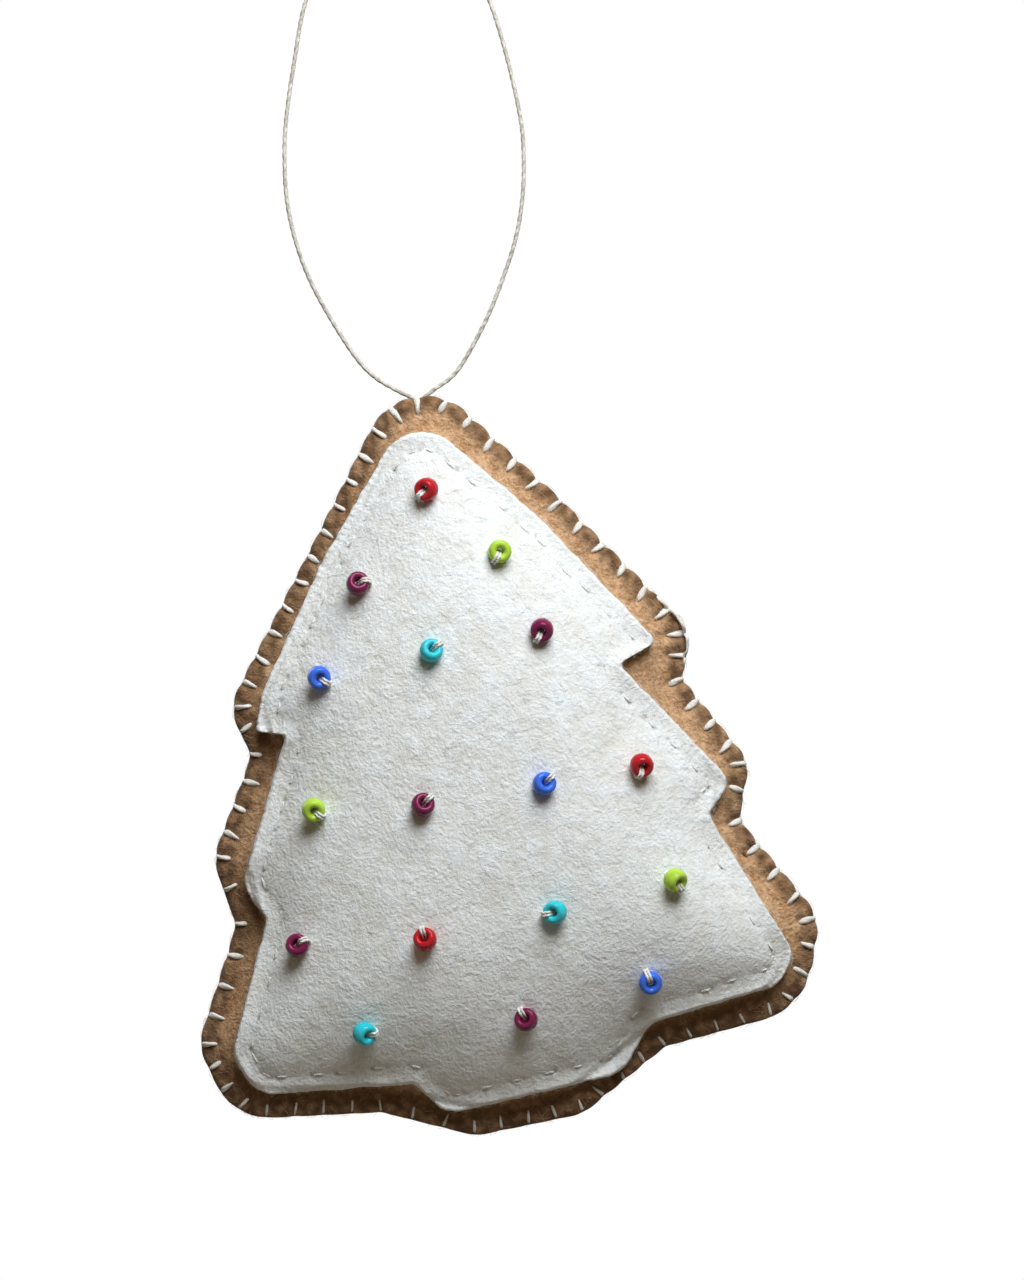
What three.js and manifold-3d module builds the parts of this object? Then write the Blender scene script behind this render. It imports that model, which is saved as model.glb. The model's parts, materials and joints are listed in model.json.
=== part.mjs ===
import * as THREE from 'three';
import { mergeGeometries, mergeVertices } from 'three/addons/utils/BufferGeometryUtils.js';
import Module from 'manifold-3d';

// A stuffed felt tree ornament that hangs by a cord loop. Two felt panels are blanket-stitched
// together round a filling, a smaller felt panel lies on the front, and glass seed beads are sewn
// on it. Millimetres, +Z up, the front faces -Y, and the origin is the top of the cord loop.

// Outline of the two outer panels. Each corner is given before it is rounded.
const TIP_RADIUS = 8.0;
const TIER1_HALF_WIDTH = 30.3;
const TIER1_DEPTH = 35.6;
const TIER1_RADIUS = 6.6;
const NOTCH1_HALF_WIDTH = 28.4;
const NOTCH1_DEPTH = 42.3;
const NOTCH1_RADIUS = 2.9;
const TIER2_HALF_WIDTH = 35.2;
const TIER2_DEPTH = 53.8;
const TIER2_RADIUS = 6.4;
const NOTCH2_HALF_WIDTH = 33.6;
const NOTCH2_DEPTH = 63.4;
const NOTCH2_RADIUS = 4.6;
const TIER3_HALF_WIDTH = 41.1;
const TIER3_DEPTH = 76.7;
const TIER3_RADIUS = 6.5;
const BASE_HALF_WIDTH = 37.8;
const BASE_DEPTH = 87.5;
const BASE_RADIUS = 8.6;
const TRUNK_HALF_WIDTH = 19.0;
const TRUNK_TOP_DEPTH = 89.6;
const TRUNK_TOP_RADIUS = 3.9;
const FOOT_HALF_WIDTH = 6.7;
const FOOT_DEPTH = 95.6;
const FOOT_RADIUS = 6.5;

// The shape is cut by hand: across the base, the right side sits higher than the left, and the tip
// lies a little left of the middle of the foot.
const HAND_CUT_SLANT = 0.055;
const TIP_LEFT_OFFSET = 0.6;

// How far the corners of the icing panel lie inside those of the outer panels, across and down.
const ICING_TIP_MARGIN = 4.6;
const ICING_TIP_RADIUS = 6.3;
const ICING_TIER1_MARGIN = 1.4;
const ICING_TIER1_DROP = 1.7;
const ICING_TIER1_RADIUS = 1.6;
const ICING_NOTCH1_MARGIN = 6.4;
const ICING_NOTCH1_RISE = 3.1;
const ICING_NOTCH1_RADIUS = 1.2;
const ICING_TIER2_MARGIN = 3.2;
const ICING_TIER2_DROP = 2.9;
const ICING_TIER2_RADIUS = 2.9;
const ICING_NOTCH2_MARGIN = 4.0;
const ICING_NOTCH2_RISE = 2.0;
const ICING_NOTCH2_RADIUS = 1.4;
const ICING_TIER3_MARGIN = 4.2;
const ICING_TIER3_DROP = 2.7;
const ICING_TIER3_RADIUS = 2.4;
const ICING_BASE_MARGIN = 2.9;
const ICING_BASE_RISE = 3.1;
const ICING_BASE_RADIUS = 4.2;
const ICING_TRUNK_MARGIN = 2.8;
const ICING_TRUNK_RISE = 2.9;
const ICING_TRUNK_RADIUS = 2.4;
const ICING_FOOT_MARGIN = 4.0;
const ICING_FOOT_RISE = 3.9;
const ICING_FOOT_RADIUS = 3.6;
const ICING_LEAN = -1.4;

// Felt, filling and the gaps between layers.
const FELT_THICKNESS = 1.2;
const ICING_THICKNESS = 1.1;
const LAYER_GAP = 0.3;
const ICING_GAP = 0.45;
const FRONT_CROWN = 9.0;
const BACK_CROWN = 8.0;
const CROWN_RISE = 26.0;
const CROWN_FULLNESS = 2.2;
const SEAM_MARGIN = 3.4;
const FILLING_CLEARANCE = 1.8;

// Blanket stitch round the seam.
const EDGE_THREAD_DIAMETER = 0.6;
const EDGE_STITCH_PITCH = 3.8;
const EDGE_STITCH_BITE = 2.8;
const THREAD_CLEARANCE = 0.2;

// Running stitch that holds the icing panel.
const RUN_STITCH_INSET = 2.3;
const RUN_STITCH_PITCH = 4.0;
const RUN_STITCH_LENGTH = 2.1;
const RUN_STITCH_WIDTH = 0.5;
const RUN_STITCH_HEIGHT = 0.25;
const RUN_STITCH_CREST_SHARE = 0.3;
const RUN_STITCH_ROOM_SHARE = 0.8;

// Seed beads and the thread that sews them on.
const BEAD_DIAMETER = 3.05;
const BEAD_HEIGHT = 2.1;
const BEAD_HOLE = 1.1;
const BEAD_WAIST_SHARE = 0.55;
const BEAD_ROUND_SHARE = 0.9;
const BEAD_THREAD_DIAMETER = 0.45;

// Hanging cord.
const CORD_DIAMETER = 0.75;
const STRAND_SPACING = 2.4;
const CORD_GAP = 0.45;
const KNOT_WIDTH = 3.8;
const KNOT_THICKNESS = 1.7;
const KNOT_DEPTH = 7.0;

// Rest pose: the tip of the tree below the top of the loop, and the lean of the tree.
const TIP_ACROSS = 3.5;
const TIP_DROP = 68.5;
const TREE_LEAN_DEG = 8.8;

// Centre line of the loop below its top: up the right strand, over the top and down the left one.
const CORD_ROUTE = [
  [7.6, -66.1], [9.3, -63.7], [12.1, -58.5], [14.2, -53.3], [15.9, -48.1], [16.8, -42.9],
  [17.0, -37.7], [16.6, -32.5], [14.9, -24.7], [12.5, -16.9], [8.6, -8.6], [4.0, -2.4],
  [0.0, -0.4], [-3.6, -2.4], [-7.8, -8.6], [-11.3, -16.9], [-12.8, -24.7], [-13.9, -32.5],
  [-14.1, -37.7], [-13.8, -42.9], [-12.7, -48.1], [-10.8, -53.3], [-8.0, -58.5], [-4.8, -63.4],
  [-2.4, -65.9],
];

// Beads: colour, seat on the icing (turn about its middle in degrees from right, counter-clockwise, and
// share of the way out to its edge), the side on which the thread leaves (degrees as before) and the
// lean to that side.
const BEADS = [
  ['red', 91.8, 0.78, 215, 30],
  ['lime', 70.7, 0.706, 235, 18],
  ['plum', 121.6, 0.76, 5, 32],
  ['blue', 159.6, 0.707, -40, 38],
  ['teal', 112.8, 0.295, 30, 22],
  ['plum', 38.2, 0.547, 235, 38],
  ['red', -28, 0.666, 250, 36],
  ['blue', -53.7, 0.261, 35, 15],
  ['plum', -123.3, 0.249, 35, 25],
  ['lime', -154.3, 0.659, -45, 38],
  ['plum', -133.6, 0.705, 25, 25],
  ['red', -109.2, 0.607, 95, 25],
  ['teal', -75.7, 0.566, 180, 25],
  ['lime', -49.2, 0.642, -60, 40],
  ['blue', -65, 0.86, 105, 12],
  ['plum', -88.3, 0.794, 110, 35],
  ['teal', -116.6, 0.842, -10, 36],
];

// How fine the curved pieces are cut, and the most of a side that the rounding of a corner takes.
const ARC_EDGE = 3.3;
const LONGEST_EDGE = 10;
const LOFT_RINGS = [0.36, 0.64, 0.85, 1];
const LOFT_CENTRE_DEPTH = 41;
const SEAM_SAMPLE = 1;
const WELD_DISTANCE = 1e-4;
const CORNER_SHARE = 0.48;
const BEAD_SEGMENTS = 8;
const THREAD_SIDES = 4;
const CORD_SIDES = 8;
const CORD_STEPS = 64;

const FELT_BROWN = 0x9c6b3f;
const FELT_WHITE = 0xf1efea;
const FILLING_WHITE = 0xf7f7f5;
const THREAD_CREAM = 0xf3eadb;
const THREAD_WHITE = 0xf8f8f6;
const CORD_TAN = 0x9a9384;
const BEAD_COLOURS = { red: 0xc01328, lime: 0xa9d64a, plum: 0x7a0f3d, teal: 0x1fb9c1, blue: 0x3b63d8 };

const wasm = await Module();
wasm.setup();

// A closed solid from a geometry, and back.
function toSolid(geometry) {
  const bare = geometry.clone();
  bare.deleteAttribute('normal');
  bare.deleteAttribute('uv');
  const welded = mergeVertices(bare, WELD_DISTANCE);
  return new wasm.Manifold(new wasm.Mesh({
    numProp: 3,
    vertProperties: new Float32Array(welded.attributes.position.array),
    triVerts: new Uint32Array(welded.index.array),
  }));
}

function toGeometry(body) {
  const mesh = body.getMesh();
  const geometry = new THREE.BufferGeometry();
  geometry.setAttribute('position', new THREE.BufferAttribute(new Float32Array(mesh.vertProperties), 3));
  geometry.setIndex(new THREE.BufferAttribute(new Uint32Array(mesh.triVerts), 1));
  geometry.computeVertexNormals();
  return geometry;
}

// An indexed geometry whose faces point out, whichever way round its triangles were listed.
function closedGeometry(vertices, triangles) {
  let volume = 0;
  for (const [a, b, c] of triangles) {
    volume += vertices[a].dot(new THREE.Vector3().crossVectors(vertices[b], vertices[c]));
  }
  const index = triangles.flatMap(([a, b, c]) => (volume > 0 ? [a, b, c] : [a, c, b]));
  const geometry = new THREE.BufferGeometry().setFromPoints(vertices);
  geometry.setIndex(index);
  geometry.computeVertexNormals();
  return geometry;
}

// Outlines: mirrored corners, then the hand-cut slant and lean.
function handCut(across, depth, lean) {
  const share = depth / FOOT_DEPTH;
  return new THREE.Vector2(across + lean * (1 - share), across * HAND_CUT_SLANT * share - depth);
}

function treeCorners(tipDepth, tipRadius, sideCorners, lean) {
  const [shoulder] = sideCorners;
  let apex = 0;
  for (let i = 0; i < 30; i += 1) {
    const halfAngle = Math.atan2(shoulder.width, shoulder.depth - tipDepth + apex);
    apex = tipRadius / Math.sin(halfAngle) - tipRadius;
  }
  const corner = (side) => ({ width, depth, radius }) => ({ at: handCut(side * width, depth, lean), radius });
  const right = sideCorners.map(corner(1));
  const left = sideCorners.map(corner(-1)).reverse();
  return [{ at: handCut(0, tipDepth - apex, lean), radius: tipRadius }, ...right, ...left];
}

// A closed path with an arc in place of every corner, and the middle of each arc.
function roundedPath(corners) {
  const path = new THREE.Path();
  const middles = [];
  corners.forEach(({ at, radius }, i) => {
    const back = corners[(i + corners.length - 1) % corners.length].at.clone().sub(at);
    const ahead = corners[(i + 1) % corners.length].at.clone().sub(at);
    const room = CORNER_SHARE * Math.min(back.length(), ahead.length());
    back.normalize();
    ahead.normalize();
    const half = Math.acos(THREE.MathUtils.clamp(back.dot(ahead), -1, 1)) / 2;
    const reach = Math.min(radius / Math.tan(half), room);
    const arcRadius = reach * Math.tan(half);
    const inward = back.clone().add(ahead).normalize();
    const centre = at.clone().addScaledVector(inward, arcRadius / Math.sin(half));
    const start = at.clone().addScaledVector(back, reach).sub(centre);
    const end = at.clone().addScaledVector(ahead, reach).sub(centre);
    path.absarc(centre.x, centre.y, arcRadius, start.angle(), end.angle(), start.cross(end) < 0);
    middles.push(centre.clone().addScaledVector(inward, -arcRadius));
  });
  path.closePath();
  return { path, middles };
}

// Points round a path: every arc in two parts or more, and long straight runs split up.
function outlinePoints(path, arcEdge, longest) {
  return path.curves.flatMap((curve) => {
    const parts = curve.isLineCurve
      ? Math.ceil(curve.getLength() / longest)
      : Math.max(2, Math.ceil(curve.getLength() / arcEdge));
    return Array.from({ length: parts }, (_, k) => curve.getPoint(k / parts));
  });
}

// Walks round an outline by length: the point there and the direction out of the shape.
function measureOutline(points) {
  const starts = [];
  let length = 0;
  points.forEach((point, i) => {
    starts.push(length);
    length += point.distanceTo(points[(i + 1) % points.length]);
  });
  const pointAt = (distance) => {
    const wrapped = THREE.MathUtils.euclideanModulo(distance, length);
    let i = starts.length - 1;
    while (starts[i] > wrapped) {
      i -= 1;
    }
    const next = points[(i + 1) % points.length];
    const span = points[i].distanceTo(next);
    return points[i].clone().lerp(next, (wrapped - starts[i]) / span);
  };
  const outAt = (distance) => {
    const ahead = pointAt(distance + EDGE_STITCH_PITCH / 3).sub(pointAt(distance - EDGE_STITCH_PITCH / 3));
    return new THREE.Vector2(-ahead.y, ahead.x).normalize();
  };
  const nearest = (target) => {
    let best = 0;
    for (let distance = 0; distance < length; distance += SEAM_SAMPLE / 4) {
      if (pointAt(distance).distanceTo(target) < pointAt(best).distanceTo(target)) {
        best = distance;
      }
    }
    return best;
  };
  return { length, pointAt, outAt, nearest };
}

const cookieSide = [
  { width: TIER1_HALF_WIDTH, depth: TIER1_DEPTH, radius: TIER1_RADIUS },
  { width: NOTCH1_HALF_WIDTH, depth: NOTCH1_DEPTH, radius: NOTCH1_RADIUS },
  { width: TIER2_HALF_WIDTH, depth: TIER2_DEPTH, radius: TIER2_RADIUS },
  { width: NOTCH2_HALF_WIDTH, depth: NOTCH2_DEPTH, radius: NOTCH2_RADIUS },
  { width: TIER3_HALF_WIDTH, depth: TIER3_DEPTH, radius: TIER3_RADIUS },
  { width: BASE_HALF_WIDTH, depth: BASE_DEPTH, radius: BASE_RADIUS },
  { width: TRUNK_HALF_WIDTH, depth: TRUNK_TOP_DEPTH, radius: TRUNK_TOP_RADIUS },
  { width: FOOT_HALF_WIDTH, depth: FOOT_DEPTH, radius: FOOT_RADIUS },
];
// The foot of the icing lies inside the flank of the trunk, at its own height above the tree's foot.
const icingFootDepth = FOOT_DEPTH - ICING_FOOT_RISE;
const flankShare = THREE.MathUtils.clamp(
  THREE.MathUtils.inverseLerp(TRUNK_TOP_DEPTH, FOOT_DEPTH, icingFootDepth),
  0,
  1,
);
const flankHalfWidth = THREE.MathUtils.lerp(TRUNK_HALF_WIDTH, FOOT_HALF_WIDTH, flankShare);
const icingFootSpread = flankHalfWidth - ICING_FOOT_MARGIN - FOOT_HALF_WIDTH;
const icingSide = [
  [-ICING_TIER1_MARGIN, ICING_TIER1_DROP, ICING_TIER1_RADIUS],
  [-ICING_NOTCH1_MARGIN, -ICING_NOTCH1_RISE, ICING_NOTCH1_RADIUS],
  [-ICING_TIER2_MARGIN, ICING_TIER2_DROP, ICING_TIER2_RADIUS],
  [-ICING_NOTCH2_MARGIN, -ICING_NOTCH2_RISE, ICING_NOTCH2_RADIUS],
  [-ICING_TIER3_MARGIN, ICING_TIER3_DROP, ICING_TIER3_RADIUS],
  [-ICING_BASE_MARGIN, -ICING_BASE_RISE, ICING_BASE_RADIUS],
  [-ICING_TRUNK_MARGIN, -ICING_TRUNK_RISE, ICING_TRUNK_RADIUS],
  [icingFootSpread, -ICING_FOOT_RISE, ICING_FOOT_RADIUS],
].map(([across, down, radius], i) => ({
  width: cookieSide[i].width + across,
  depth: cookieSide[i].depth + down,
  radius,
}));
const cookie = roundedPath(treeCorners(0, TIP_RADIUS, cookieSide, -TIP_LEFT_OFFSET));
const icing = roundedPath(treeCorners(ICING_TIP_MARGIN, ICING_TIP_RADIUS, icingSide, ICING_LEAN));
const seam = measureOutline(outlinePoints(cookie.path, SEAM_SAMPLE / 2, SEAM_SAMPLE));

// Soft distance from the seam: close to the true distance at the edge, and smooth further in.
const seamPoints = Array.from({ length: Math.ceil(seam.length / SEAM_SAMPLE) }, (_, i) => (
  seam.pointAt((i / Math.ceil(seam.length / SEAM_SAMPLE)) * seam.length)
));
const seamShare = seam.length / seamPoints.length;

function seamDistance(x, z) {
  let sum = 0;
  for (const point of seamPoints) {
    const squared = (x - point.x) ** 2 + (z - point.y) ** 2 + (SEAM_SAMPLE / 4) ** 2;
    sum += seamShare / squared ** 2;
  }
  return Math.cbrt(Math.PI / 2 / sum);
}

function seamInward(x, z) {
  const step = SEAM_SAMPLE / 4;
  const dx = seamDistance(x + step, z) - seamDistance(x - step, z);
  const dz = seamDistance(x, z + step) - seamDistance(x, z - step);
  return new THREE.Vector2(dx, dz).divideScalar(2 * step);
}

// The swell of a panel above the seam plane, and how much thicker a layer is along Y where it slopes.
function swell(x, z, crown) {
  const share = THREE.MathUtils.clamp((seamDistance(x, z) - SEAM_MARGIN) / CROWN_RISE, 0, 1);
  return crown * (1 - (1 - share) ** CROWN_FULLNESS);
}

function slopeFactor(x, z, crown) {
  const step = SEAM_SAMPLE / 2;
  const dx = (swell(x + step, z, crown) - swell(x - step, z, crown)) / (2 * step);
  const dz = (swell(x, z + step, crown) - swell(x, z - step, crown)) / (2 * step);
  return Math.hypot(1, dx, dz);
}

const frontInner = (x, z) => -(LAYER_GAP / 2 + swell(x, z, FRONT_CROWN));
const frontFace = (x, z, above) => frontInner(x, z) - above * slopeFactor(x, z, FRONT_CROWN);
const frontOuter = (x, z) => frontFace(x, z, FELT_THICKNESS);
const backInner = (x, z) => LAYER_GAP / 2 + swell(x, z, BACK_CROWN);
const backFace = (x, z, above) => backInner(x, z) + above * slopeFactor(x, z, BACK_CROWN);
const backOuter = (x, z) => backFace(x, z, FELT_THICKNESS);

// The centre of the loft, and rings drawn in from an outline towards it.
const loftCentre = new THREE.Vector2(0, -LOFT_CENTRE_DEPTH);

function drawnIn(outline) {
  return LOFT_RINGS.map((share) => outline.map((point) => loftCentre.clone().lerp(point, share)));
}

// Straight in from the edge until a soft distance is reached, so that no two ways in cross.
function stepIn(start, reached) {
  const at = start.clone();
  while (!reached(at)) {
    at.addScaledVector(seamInward(at.x, at.y).normalize(), SEAM_SAMPLE / 20);
  }
  return at;
}

// A layer between two height fields over rings of points.
function layerGeometry(rings, faceA, faceB) {
  const count = rings[0].length;
  const vertices = [];
  const triangles = [];
  for (const face of [faceA, faceB]) {
    const base = vertices.length;
    const flip = face === faceB;
    const push = (a, b, c) => triangles.push(flip ? [a, c, b] : [a, b, c]);
    vertices.push(new THREE.Vector3(loftCentre.x, face(loftCentre.x, loftCentre.y), loftCentre.y));
    rings.forEach((points, ring) => {
      points.forEach((at, i) => {
        vertices.push(new THREE.Vector3(at.x, face(at.x, at.y), at.y));
        const here = base + 1 + ring * count;
        const next = (i + 1) % count;
        if (ring === 0) {
          push(base, here + i, here + next);
        } else {
          push(here - count + i, here + i, here + next);
          push(here - count + i, here + next, here - count + next);
        }
      });
    });
  }
  const rimA = 1 + (rings.length - 1) * count;
  const rimB = vertices.length / 2 + rimA;
  for (let i = 0; i < count; i += 1) {
    const next = (i + 1) % count;
    triangles.push([rimA + i, rimB + i, rimB + next]);
    triangles.push([rimA + i, rimB + next, rimA + next]);
  }
  return closedGeometry(vertices, triangles);
}

// The flat seam margin, the rings of each layer, and the height of a made panel's front at a place.
const cookieOutline = outlinePoints(cookie.path, ARC_EDGE, LONGEST_EDGE);
const icingOutline = outlinePoints(icing.path, ARC_EDGE, LONGEST_EDGE);
const seamRing = cookieOutline.map((point) => {
  const start = point.clone().lerp(loftCentre, SEAM_SAMPLE / 2 / point.distanceTo(loftCentre));
  return stepIn(start, (at) => seamDistance(at.x, at.y) >= SEAM_MARGIN);
});
const cookieRings = [...drawnIn(seamRing), cookieOutline];
const icingRings = drawnIn(icingOutline);
const fillingRings = drawnIn(seamRing).slice(0, -1);
const frontLayer = layerGeometry(cookieRings, frontOuter, frontInner);

function faceHeight(mesh, x, z, start, way) {
  const ray = new THREE.Raycaster(new THREE.Vector3(x, start, z), new THREE.Vector3(0, way, 0));
  return ray.intersectObject(mesh)[0].point.y;
}

const frontMesh = new THREE.Mesh(frontLayer);
const frontHeight = (x, z) => faceHeight(frontMesh, x, z, -FOOT_DEPTH, 1);
const liningHeight = (x, z) => faceHeight(frontMesh, x, z, 0, -1);
const raised = (x, z, above) => (
  Math.min(frontHeight(x, z), frontOuter(x, z)) - above * slopeFactor(x, z, FRONT_CROWN)
);
const icingBottom = (x, z) => raised(x, z, ICING_GAP);
const icingTop = (x, z) => raised(x, z, ICING_GAP + ICING_THICKNESS);
const icingLayer = layerGeometry(icingRings, icingTop, icingBottom);
const icingMesh = new THREE.Mesh(icingLayer);
const icingHeight = (x, z) => faceHeight(icingMesh, x, z, -FOOT_DEPTH, 1);

// A thread along straight runs, mitred at every bend, with flat ends.
function threadGeometry(route, diameter) {
  const runs = route.slice(1).map((point, i) => point.clone().sub(route[i]).normalize());
  const across = new THREE.Vector3(0, 1, 0).cross(runs[0]);
  if (across.length() < 0.1) {
    across.set(1, 0, 0).cross(runs[0]);
  }
  across.normalize();
  const other = runs[0].clone().cross(across);
  let ring = Array.from({ length: THREAD_SIDES }, (_, k) => {
    const angle = ((k + 0.5) / THREAD_SIDES) * 2 * Math.PI;
    return route[0].clone()
      .addScaledVector(across, Math.cos(angle) * diameter / 2)
      .addScaledVector(other, Math.sin(angle) * diameter / 2);
  });
  const vertices = [...ring];
  const triangles = [];
  for (let i = 1; i < route.length; i += 1) {
    const plane = runs[i - 1].clone();
    if (i < runs.length) {
      plane.add(runs[i]).normalize();
    }
    ring = ring.map((corner) => {
      const along = route[i].clone().sub(corner).dot(plane) / runs[i - 1].dot(plane);
      return corner.clone().addScaledVector(runs[i - 1], along);
    });
    const base = vertices.length - THREAD_SIDES;
    vertices.push(...ring);
    for (let k = 0; k < THREAD_SIDES; k += 1) {
      const next = (k + 1) % THREAD_SIDES;
      triangles.push([base + k, base + next, base + THREAD_SIDES + next]);
      triangles.push([base + k, base + THREAD_SIDES + next, base + THREAD_SIDES + k]);
    }
  }
  const last = vertices.length - THREAD_SIDES;
  for (let k = 1; k < THREAD_SIDES - 1; k += 1) {
    triangles.push([0, k + 1, k]);
    triangles.push([last, last + k, last + k + 1]);
  }
  return closedGeometry(vertices, triangles);
}

// Needle holes run straight from front to back.
function needleHoles(places, diameter) {
  const reach = 3 * (FRONT_CROWN + BACK_CROWN + FELT_THICKNESS + ICING_THICKNESS);
  const radius = diameter / 2 + THREAD_CLEARANCE;
  return toSolid(mergeGeometries(places.map(({ x, y }) => (
    new THREE.CylinderGeometry(radius, radius, reach, THREAD_SIDES).translate(x, 0, y)
  ))));
}

// Stitches sit on every corner of the outline, from the tip on, and evenly between.
function stitchPlaces() {
  const tip = seam.nearest(cookie.middles[0]);
  const marks = cookie.middles
    .map((middle) => THREE.MathUtils.euclideanModulo(seam.nearest(middle) - tip, seam.length))
    .sort((a, b) => a - b);
  return marks.flatMap((mark, i) => {
    const next = i === marks.length - 1 ? seam.length : marks[i + 1];
    const count = Math.max(1, Math.round((next - mark) / EDGE_STITCH_PITCH));
    return Array.from({ length: count }, (_, k) => tip + mark + ((next - mark) * k) / count);
  });
}

// Where a stitch dips through the felt: straight in from the edge, and short of the icing.
const icingLine = outlinePoints(icing.path, SEAM_SAMPLE / 2, SEAM_SAMPLE);

function biteAt(place) {
  const start = seam.pointAt(place).addScaledVector(seam.outAt(place), -SEAM_SAMPLE / 2);
  const room = EDGE_THREAD_DIAMETER / 2 + 2 * THREAD_CLEARANCE;
  return stepIn(start, (at) => (
    seamDistance(at.x, at.y) > EDGE_STITCH_BITE
    || icingLine.some((point) => point.distanceTo(at) < room)
  ));
}

// Blanket stitch: along the edge, up the front, through both panels, down the back, and out over
// the edge beside the corner that it has just made.
const edgeLift = EDGE_THREAD_DIAMETER / 2 + THREAD_CLEARANCE;
const edgeFace = LAYER_GAP / 2 + FELT_THICKNESS + edgeLift;
const edgeLevel = -(LAYER_GAP / 2 + FELT_THICKNESS / 2 + THREAD_CLEARANCE / 2);
const stitches = stitchPlaces();
const bites = stitches.map(biteAt);

function edgeThreadRoute() {
  const route = [];
  const place = (distance, out, level) => {
    const at = seam.pointAt(distance).addScaledVector(seam.outAt(distance), out);
    return new THREE.Vector3(at.x, level, at.y);
  };
  const half = EDGE_THREAD_DIAMETER / 2;
  const joint = stitches[0] - EDGE_STITCH_PITCH / 2;
  route.push(place(joint + LAYER_GAP / 2, edgeLift, edgeLevel));
  stitches.forEach((stitch, i) => {
    const bite = bites[i];
    route.push(place(stitch - half, edgeLift, -edgeFace));
    route.push(new THREE.Vector3(bite.x, frontFace(bite.x, bite.y, FELT_THICKNESS + edgeLift), bite.y));
    route.push(new THREE.Vector3(bite.x, backFace(bite.x, bite.y, FELT_THICKNESS + edgeLift), bite.y));
    route.push(place(stitch, edgeLift, edgeFace));
    route.push(place(stitch + half / 2, edgeLift, 0));
    route.push(place(stitch + 4 * half, edgeLift, edgeLevel));
  });
  route.push(place(joint + seam.length - LAYER_GAP / 2, edgeLift, edgeLevel));
  return route;
}

// Running stitches are short ridges that rise out of the icing panel and dip into it at both ends.
function runStitches() {
  const line = measureOutline(outlinePoints(icing.path, SEAM_SAMPLE / 2, SEAM_SAMPLE));
  const count = Math.round(line.length / RUN_STITCH_PITCH);
  const inset = (distance) => (
    line.pointAt(distance).addScaledVector(line.outAt(distance), -RUN_STITCH_INSET)
  );
  const room = RUN_STITCH_INSET * RUN_STITCH_ROOM_SHARE;
  const clear = (at) => icingLine.every((point) => point.distanceTo(at) > room);
  const middles = Array.from({ length: count }, (_, i) => (i * line.length) / count);
  const ridges = middles.filter((middle) => clear(inset(middle))).map((middle) => {
    const along = line.pointAt(middle + SEAM_SAMPLE).sub(line.pointAt(middle - SEAM_SAMPLE)).normalize();
    const start = inset(middle).addScaledVector(along, -RUN_STITCH_LENGTH / 2);
    const end = inset(middle).addScaledVector(along, RUN_STITCH_LENGTH / 2);
    const side = new THREE.Vector2(-along.y, along.x).multiplyScalar(RUN_STITCH_WIDTH / 2);
    const buried = (x, z) => icingHeight(x, z) + ICING_THICKNESS / 3;
    const crest = start.clone().lerp(end, 0.5);
    const corners = [start, crest.clone().add(side), end, crest.clone().sub(side)];
    const vertices = corners.map((at) => new THREE.Vector3(at.x, buried(at.x, at.y), at.y));
    const rise = RUN_STITCH_HEIGHT * slopeFactor(crest.x, crest.y, FRONT_CROWN);
    for (const at of [start, end].map((tip) => crest.clone().lerp(tip, RUN_STITCH_CREST_SHARE))) {
      vertices.push(new THREE.Vector3(at.x, icingHeight(at.x, at.y) - rise, at.y));
    }
    const triangles = [
      [0, 1, 4], [1, 5, 4], [1, 2, 5], [2, 3, 5], [3, 4, 5], [3, 0, 4], [0, 3, 1], [1, 3, 2],
    ];
    return closedGeometry(vertices, triangles);
  });
  return toSolid(mergeGeometries(ridges));
}

// Beads seat on the icing, each leaning towards the side where its thread goes down.
const beadRound = Math.min(BEAD_HEIGHT / 2, (BEAD_DIAMETER - BEAD_HOLE) / 4) * BEAD_ROUND_SHARE;
function icingReach(direction) {
  let reach = Infinity;
  icingLine.forEach((point, i) => {
    const start = point.clone().sub(loftCentre);
    const run = icingLine[(i + 1) % icingLine.length].clone().sub(point);
    const along = start.cross(run) / direction.cross(run);
    const share = start.cross(direction) / direction.cross(run);
    if (along > 0 && share >= 0 && share <= 1) {
      reach = Math.min(reach, along);
    }
  });
  return reach;
}

const seatedBeads = BEADS.map(([colour, turnDeg, shareOut, side, leanDeg]) => {
  const turn = THREE.MathUtils.degToRad(turnDeg);
  const outward = new THREE.Vector2(Math.cos(turn), Math.sin(turn));
  const seatAt = loftCentre.clone().addScaledVector(outward, icingReach(outward) * shareOut);
  const x = seatAt.x;
  const z = seatAt.y;
  const step = SEAM_SAMPLE / 2;
  const normal = new THREE.Vector3(
    (frontOuter(x + step, z) - frontOuter(x - step, z)) / (2 * step),
    -1,
    (frontOuter(x, z + step) - frontOuter(x, z - step)) / (2 * step),
  ).normalize();
  const angle = THREE.MathUtils.degToRad(side);
  const lean = THREE.MathUtils.degToRad(leanDeg);
  const towards = new THREE.Vector3(Math.cos(angle), 0, Math.sin(angle));
  towards.addScaledVector(normal, -towards.dot(normal)).normalize();
  const axis = normal.clone().multiplyScalar(Math.cos(lean)).addScaledVector(towards, Math.sin(lean));
  const rim = axis.clone().multiplyScalar(-Math.sin(lean)).add(towards).normalize();
  const seat = (BEAD_DIAMETER / 2 - beadRound) * Math.sin(lean)
    + (BEAD_HEIGHT / 2 - beadRound) * Math.cos(lean) + beadRound + LAYER_GAP;
  const centre = new THREE.Vector3(x, icingHeight(x, z), z).addScaledVector(normal, seat);
  return { colour, centre, axis, rim, towards };
});

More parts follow.
